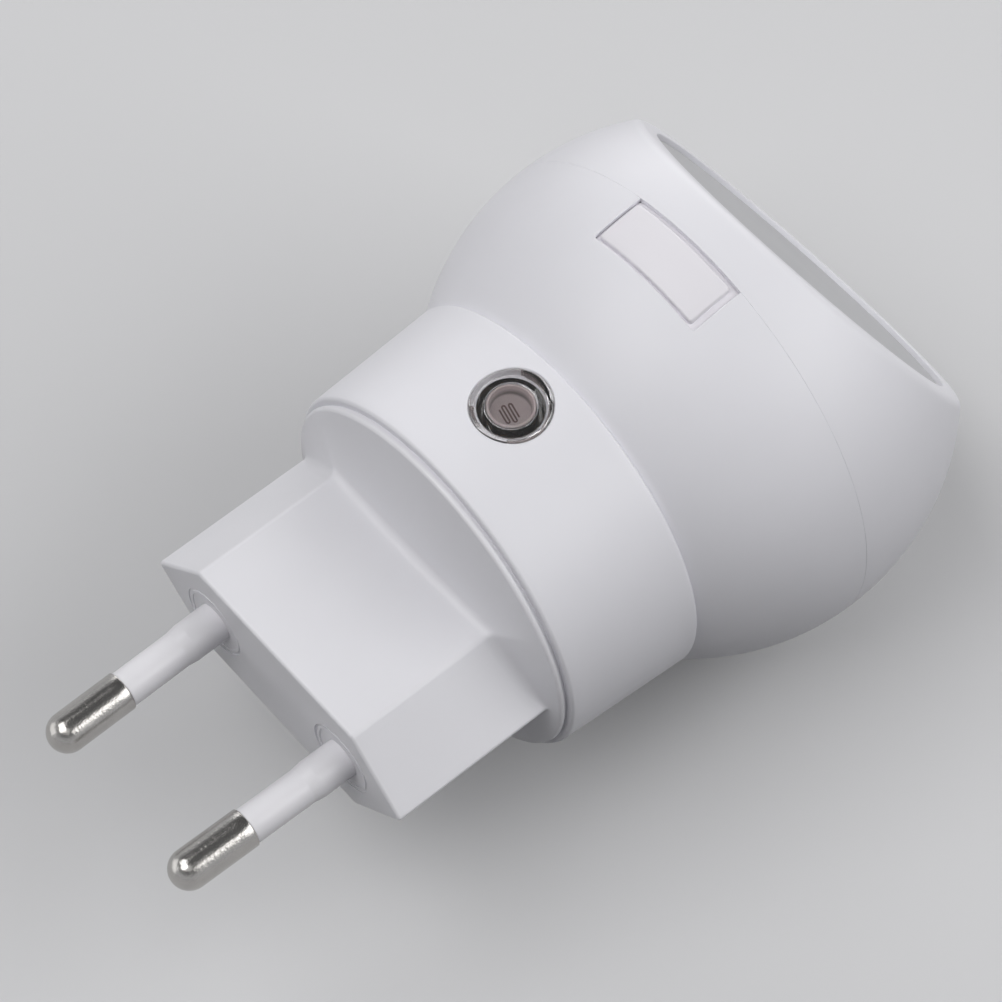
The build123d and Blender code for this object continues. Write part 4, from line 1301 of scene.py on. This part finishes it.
def pin_sleeve(pins, side, name, material):
    """Sleeve with a thicker root, one closed turned ring."""
    bore = pins.shank + MOULDED_GAP
    end = pins.sleeve_length - MOULDED_GAP
    start = (bore, SLEEVE_START - pins.embedded)
    corners = [
        start,
        (bore, -pins.embedded),
        (pins.root_radius, -pins.embedded),
        (pins.root_radius, pins.root_length),
        (pins.sleeve_radius, pins.root_length + pins.root_taper),
        (pins.sleeve_radius, end),
        (bore, end),
        start,
    ]
    path = refine(rounded(corners, [0, 0, pins.root_edge, pins.root_edge, pins.sleeve_edge, 0], steps=5), SLEEVE_RUN)
    grids = [at_pin(turned(path, AROUND_PIN), pins, side)]
    return build(f"pin_sleeve_{name}", grids, material, HOUSING, f"sleeve_{name}")


# ------------------------------------------------------------------------------------ sensor
AROUND_WINDOW = 128
AROUND_CELL = 96
WINDOW_ROWS = 13
BOW_STEPS = 8
# Longest steps along the straight runs of each profile, and the angle, in degrees, from which the window's edges
# stay sharp.
WINDOW_RUN = 0.6 * MM
CELL_RUN = 0.3 * MM
TRACK_RUN = 0.15 * MM
WINDOW_SHARP = 40.0


def window_level(body, sensor):
    """Height of the clear window's top on the sensor's axis."""
    return body.collar_radius + (sensor.distance - body.collar_start) * tan(body.collar_draft) + sensor.proud


def clear_cap(body, sensor, material):
    """Window whose top follows the collar's cone, with the barrel round the light cell.

    Rings of points about the upright axis; on the top, the height is sqrt(cone(y) ** 2 - x ** 2) for the cone grown
    by the height at which the window stands proud.
    """
    slope = tan(body.collar_draft)
    axis_y = -sensor.distance

    def top(x, y):
        return np.sqrt((body.collar_radius + sensor.proud + (-body.collar_start - y) * slope) ** 2 - x**2)

    under = window_level(body, sensor) - sensor.flange
    foot = under - sensor.barrel_length
    roof = under + sensor.flange - sensor.bore_roof
    inset, drop = edge_run(sensor.rim)
    disc = even(WINDOW_ROWS, sensor.radius - sensor.rim)[:-1]
    reach = np.concatenate([disc, sensor.radius - inset])
    drop = np.concatenate([0 * disc, drop])
    angle = even(AROUND_WINDOW, 2 * pi)
    x, y = reach[:, None] * np.sin(angle), axis_y + reach[:, None] * np.cos(angle)
    upper = np.stack([x, y, top(x, y) - drop[:, None]], axis=-1)
    corners = [(sensor.radius - sensor.taper, under), (sensor.barrel_radius, under), (sensor.barrel_radius, foot)]
    corners += [(sensor.bore_radius, foot), (sensor.bore_radius, roof), (0, roof)]
    lower = upright(refine(rounded(corners, [0, 0, 0, sensor.bore_edge]), WINDOW_RUN), axis_y, AROUND_WINDOW)
    grids = [np.concatenate([upper, lower])]
    return build("clear_cap", grids, material, HOUSING, "sensor_window", WINDOW_SHARP)


def light_cell(body, sensor, material):
    """Round ceramic cell with a raised rim about its resin window."""
    top = window_level(body, sensor) - sensor.bore_roof - sensor.cell_gap
    foot = top - sensor.cell_thick
    window = sensor.cell_radius * sensor.cell_window
    corners = [
        (0, top - sensor.cell_sunk),
        (window, top - sensor.cell_sunk),
        (window + sensor.cell_slope, top),
        (sensor.cell_radius, top),
        (sensor.cell_radius, foot),
        (0, foot),
    ]
    radii = [sensor.slope_foot, sensor.slope_edge, sensor.cell_edge, sensor.cell_edge]
    path = refine(rounded(corners, radii, steps=5), CELL_RUN)
    grids = [upright(path, -sensor.distance, AROUND_CELL)]
    return build("light_cell", grids, material, HOUSING, "photocell")


def cell_track(body, sensor, material):
    """Meandering track on the cell: a flat ribbon whose middle line runs to and fro and turns in half circles.

    Each point of the middle line is moved half the ribbon's width along its normal, both ways and at two heights.
    """
    top = window_level(body, sensor) - sensor.bore_roof - sensor.cell_gap - sensor.cell_sunk
    lines = sensor.track_lines
    pitch = sensor.track_pitch
    across = (np.arange(lines) - (lines - 1) / 2) * pitch
    reach = sensor.cell_radius * sensor.cell_window - sensor.track_margin
    run = np.sqrt(reach**2 - across**2) * sensor.track_fill
    run[:-1] = np.minimum(run[:-1], run[1:]) * 0.5 + run[:-1] * 0.5
    half_turn = np.linspace(-pi / 2, pi / 2, BOW_STEPS + 1)
    line = []
    for index in range(lines):
        way = 1 if index % 2 == 0 else -1
        reach_here = min(run[index], run[min(index + 1, lines - 1)])
        reach_before = min(run[index], run[max(index - 1, 0)])
        line.append(np.array([[-way * reach_before, across[index]], [way * reach_here, across[index]]]))
        if index + 1 < lines:
            bow = np.stack([np.cos(half_turn) * way, np.sin(half_turn)], axis=1) * pitch / 2
            line.append(bow[1:-1] + (way * reach_here, across[index] + pitch / 2))
    middle = refine(np.concatenate(line), TRACK_RUN)
    way = np.gradient(middle, axis=0)
    way /= np.linalg.norm(way, axis=1, keepdims=True)
    normal = np.stack([-way[:, 1], way[:, 0]], axis=1) * sensor.track_width / 2
    turn = sensor.track_turn
    rotate = np.array([[cos(turn), sin(turn)], [-sin(turn), cos(turn)]])
    left, right = (middle + normal) @ rotate, (middle - normal) @ rotate
    high, low = top + sensor.track_height, top - sensor.track_sunk
    line_y = sensor.track_shift - sensor.distance
    rails = ((left, low), (left, high), (right, high), (right, low), (left, low))
    tube = np.stack([np.insert(flat + (0, line_y), 2, level, axis=1) for flat, level in rails], axis=1)
    ends = [np.stack([tube[at, [0, 1]], tube[at, [3, 2]]]) for at in (0, -1)]
    return build("cell_track", [tube, *ends], material, HOUSING, "photocell_track")


# ------------------------------------------------------------------------------------ pieces
class PieceOperator(bpy.types.Operator):
    """What the pieces' operators share."""

    bl_options = {"REGISTER", "UNDO"}


class NIGHTLIGHT_OT_housing(PieceOperator):
    """Rear shell and front bezel of the ball"""

    bl_idname = "night_light.housing"
    bl_label = "Housing"

    def execute(self, context):
        tint = context.scene.night_light_colours
        plastic = moulded("satin_shell", tint.shell, 0.46)
        scene = context.scene
        rear_housing(scene.night_light_housing, scene.night_light_button, scene.night_light_sensor, plastic)
        front_housing(scene.night_light_housing, scene.night_light_face, scene.night_light_button, plastic)
        return {"FINISHED"}


class NIGHTLIGHT_OT_plug(PieceOperator):
    """Plug insert, pins and sleeves"""

    bl_idname = "night_light.plug"
    bl_label = "Plug"

    def execute(self, context):
        tint = context.scene.night_light_colours
        pins = context.scene.night_light_pins
        plastic = moulded("satin_plug", tint.plug, 0.4)
        plug_moulding(context.scene.night_light_plug, pins, plastic)
        # The pins' nickel is darkened as painted reflection of a dark surround.
        nickel_and_dark_reflection = drawn_nickel(tint.nickel_and_dark_reflection)
        sleeve = moulded("smooth_sleeve", tint.sleeve, 0.3, 550.0)
        for side, name in ((-1, "left"), (1, "right")):
            round_pin(pins, side, name, nickel_and_dark_reflection)
            pin_sleeve(pins, side, name, sleeve)
        return {"FINISHED"}


class NIGHTLIGHT_OT_lens(PieceOperator):
    """Milky lens in the light face"""

    bl_idname = "night_light.lens"
    bl_label = "Lens"

    def execute(self, context):
        centre = -context.scene.night_light_housing.ball_distance
        milky_lens(context.scene.night_light_face, centre, frosted_lens(context.scene.night_light_colours.lens))
        return {"FINISHED"}


class NIGHTLIGHT_OT_button(PieceOperator):
    """Push button and its spring"""

    bl_idname = "night_light.button"
    bl_label = "Button"

    def execute(self, context):
        scene = context.scene
        plastic = moulded("satin_button", scene.night_light_colours.button, 0.42)
        push_button(scene.night_light_housing, scene.night_light_face, scene.night_light_button, plastic)
        steel = worn_metal("spring_steel", (0.58, 0.58, 0.60), 0.2)
        coil_spring(scene.night_light_housing, scene.night_light_button, steel)
        return {"FINISHED"}


class NIGHTLIGHT_OT_sensor(PieceOperator):
    """Clear window with the light cell behind it"""

    bl_idname = "night_light.sensor"
    bl_label = "Light sensor"

    def execute(self, context):
        tint = context.scene.night_light_colours
        body, sensor = context.scene.night_light_housing, context.scene.night_light_sensor
        clear_cap(body, sensor, clear_window())
        light_cell(body, sensor, resin_cell(tint.cell, sensor))
        cell_track(body, sensor, printed_track(tint.track))
        return {"FINISHED"}


class NIGHTLIGHT_OT_inside(PieceOperator):
    """Finishes of the parts inside the housing"""

    bl_idname = "night_light.inside"
    bl_label = "Inside"

    def execute(self, context):
        tinned = worn_metal("tinned_wire", (0.66, 0.66, 0.66), 0.22)
        brass = worn_metal("rolled_brass", (0.75, 0.58, 0.30), 0.24)
        resistor = lacquer("lacquered_resistor", (0.66, 0.55, 0.38), 0.32)
        black = lacquer("black_moulding", (0.035, 0.035, 0.037), 0.4)
        finishes = {
            "photocell_leads": tinned,
            "link_wire_left": tinned,
            "link_wire_right": tinned,
            "contact_strip_left": brass,
            "contact_strip_right": brass,
            "driver_board": circuit_board("brown_resist", (0.30, 0.17, 0.08)),
            "led_board": circuit_board("white_resist", (0.82, 0.82, 0.80), 0.94),
            "reflector": lacquer("white_reflector", (0.86, 0.86, 0.86), 0.5),
            "film_capacitor": lacquer("yellow_box", (0.72, 0.50, 0.08), 0.3),
            "electrolytic_capacitor": lacquer("sleeved_can", (0.05, 0.06, 0.16), 0.28),
            "rectifier": black,
            "transistor": black,
            "switch_body": lacquer("switch_case", (0.045, 0.045, 0.05), 0.36),
            "switch_plunger": lacquer("switch_plunger_red", (0.42, 0.05, 0.04), 0.36),
            "resistor_1": resistor,
            "resistor_2": resistor,
        }
        led = phosphor_led()
        finishes.update({name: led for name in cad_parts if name.startswith("led_") and name != "led_board"})
        for node, material in finishes.items():
            dress(node, material)
        return {"FINISHED"}


# ------------------------------------------------------------------------------------ studio
WALL = (0.96, 0.97, 1.0)
BLACK = (0, 0, 0)


def pale_floor(tint, studio):
    """Pale matt floor, which throws less light back on the object than its look promises.

    Beyond the lamps' reach it fades into the studio's pale wall.
    """
    finish = Finish("pale_floor", roughness=0.9, specular_ior_level=0.0, emission_strength=1.0)
    bright = finish.blend(finish.cloud(6.0, 3.0), shade(tint, 0.985), shade(tint, 1.015))
    faded = finish.remap(finish.reach(finish.place()), studio.floor_reach / 2, studio.floor_reach)
    finish.feed(base_color=finish.blend(finish.seen(0.0, 1.0 - faded), shade(tint, 0.2), bright))
    finish.feed(emission_color=finish.blend(finish.seen(0.0, faded), BLACK, shade(WALL, studio.pale)))
    return finish.material


def pale_walls(world, studio):
    """Even light on the object, with walls that look pale up to the dark ceiling wherever they are seen."""
    world.use_nodes = True
    background = world.node_tree.nodes["Background"]
    background.inputs["Color"].default_value = (*WALL, 1)
    room = Tree(world.node_tree)
    way = room.node("ShaderNodeTexCoord", {}, {}, "Generated")
    height = room.node("ShaderNodeSeparateXYZ", {}, {0: way}, "Z")
    wall = room.remap(height, sin(studio.wall_top), sin(studio.ceiling), studio.pale, studio.fill)
    world.node_tree.links.new(room.seen(studio.fill, wall).socket, background.inputs["Strength"])


# Name, compass angle from +X towards +Y, height angle, and share of a full softbox's power.
SOFTBOXES = (
    ("overhead_softbox", 60, 65, 1.15),
    ("back_softbox", 120, 65, 0.27),
    ("near_softbox", 225, 40, 1.32),
    ("face_softbox", 315, 15, 0.88),
    ("plug_softbox", 45, 15, 0.35),
)


def softbox(studio, name, compass, height, share):
    """Rectangular area lamp that looks at the object's middle from a compass angle and a height."""
    way = Vector((cos(height) * cos(compass), cos(height) * sin(compass), sin(height)))
    lamp = bpy.data.lights.new(name, "AREA")
    lamp.shape = "RECTANGLE"
    lamp.size = studio.box_width
    lamp.size_y = studio.box_height
    lamp.energy = studio.power * share
    holder = bpy.data.objects.new(name, lamp)
    holder.location = Vector(MIDDLE) + way * studio.reach
    holder.rotation_mode = "QUATERNION"
    holder.rotation_quaternion = (-way).to_track_quat("-Z", "Y")
    bpy.context.scene.collection.objects.link(holder)


class NIGHTLIGHT_OT_stage(PieceOperator):
    """Camera, lamps and a pale floor"""

    bl_idname = "night_light.stage"
    bl_label = "Studio"

    def execute(self, context):
        scene = context.scene
        studio = scene.night_light_studio
        scene.view_settings.view_transform = "Standard"

        camera = bpy.data.objects.new("camera", bpy.data.cameras.new("camera"))
        camera.data.sensor_width = 36
        camera.data.lens = studio.lens
        camera.data.clip_start = 0.01
        camera.data.clip_end = 20
        camera.location = studio.camera_place
        aim = Vector(studio.camera_aim)
        camera.rotation_mode = "QUATERNION"
        camera.rotation_quaternion = Quaternion(aim, studio.camera_roll) @ aim.to_track_quat("-Z", "Y")
        scene.collection.objects.link(camera)
        scene.camera = camera

        half, level = studio.floor_half, CAD_BOX[0].z - studio.floor_gap
        corners = [(half * x, half * y, level) for x, y in ((-1, -1), (1, -1), (1, 1), (-1, 1))]
        mesh = bpy.data.meshes.new("studio_floor")
        mesh.from_pydata(corners, [], [(0, 1, 2, 3)])
        mesh.materials.append(pale_floor(scene.night_light_colours.floor, studio))
        floor = bpy.data.objects.new("studio_floor", mesh)
        scene.collection.objects.link(floor)

        for name, compass, height, share in SOFTBOXES:
            softbox(studio, name, radians(compass), radians(height), share)

        scene.world = bpy.data.worlds.new("studio_world")
        pale_walls(scene.world, studio)
        return {"FINISHED"}


class NIGHTLIGHT_PT_panel(bpy.types.Panel):
    """Lists the pieces and the studio"""

    bl_idname = "NIGHTLIGHT_PT_panel"
    bl_label = "Night light"
    bl_space_type = "VIEW_3D"
    bl_region_type = "UI"
    bl_category = "Night light"

    def draw(self, context):
        for operator in OPERATORS:
            self.layout.operator(operator.bl_idname)
        for name, settings in SETTINGS.items():
            box = self.layout.box()
            for key in settings.__annotations__:
                box.prop(getattr(context.scene, name), key)


OPERATORS = (
    NIGHTLIGHT_OT_stage,
    NIGHTLIGHT_OT_housing,
    NIGHTLIGHT_OT_plug,
    NIGHTLIGHT_OT_lens,
    NIGHTLIGHT_OT_button,
    NIGHTLIGHT_OT_sensor,
    NIGHTLIGHT_OT_inside,
)


def register():
    for group in SETTINGS.values():
        bpy.utils.register_class(group)
    for operator in OPERATORS:
        bpy.utils.register_class(operator)
    bpy.utils.register_class(NIGHTLIGHT_PT_panel)
    for name, group in SETTINGS.items():
        setattr(bpy.types.Scene, name, bpy.props.PointerProperty(type=group))


def unregister():
    for name in SETTINGS:
        delattr(bpy.types.Scene, name)
    bpy.utils.unregister_class(NIGHTLIGHT_PT_panel)
    for operator in reversed(OPERATORS):
        bpy.utils.unregister_class(operator)
    for group in reversed(list(SETTINGS.values())):
        bpy.utils.unregister_class(group)


def main():
    register()
    bpy.ops.night_light.stage()
    bpy.ops.night_light.housing()
    bpy.ops.night_light.plug()
    bpy.ops.night_light.lens()
    bpy.ops.night_light.button()
    bpy.ops.night_light.sensor()
    bpy.ops.night_light.inside()
    bpy.context.view_layer.update()


if __name__ == "__main__":
    main()
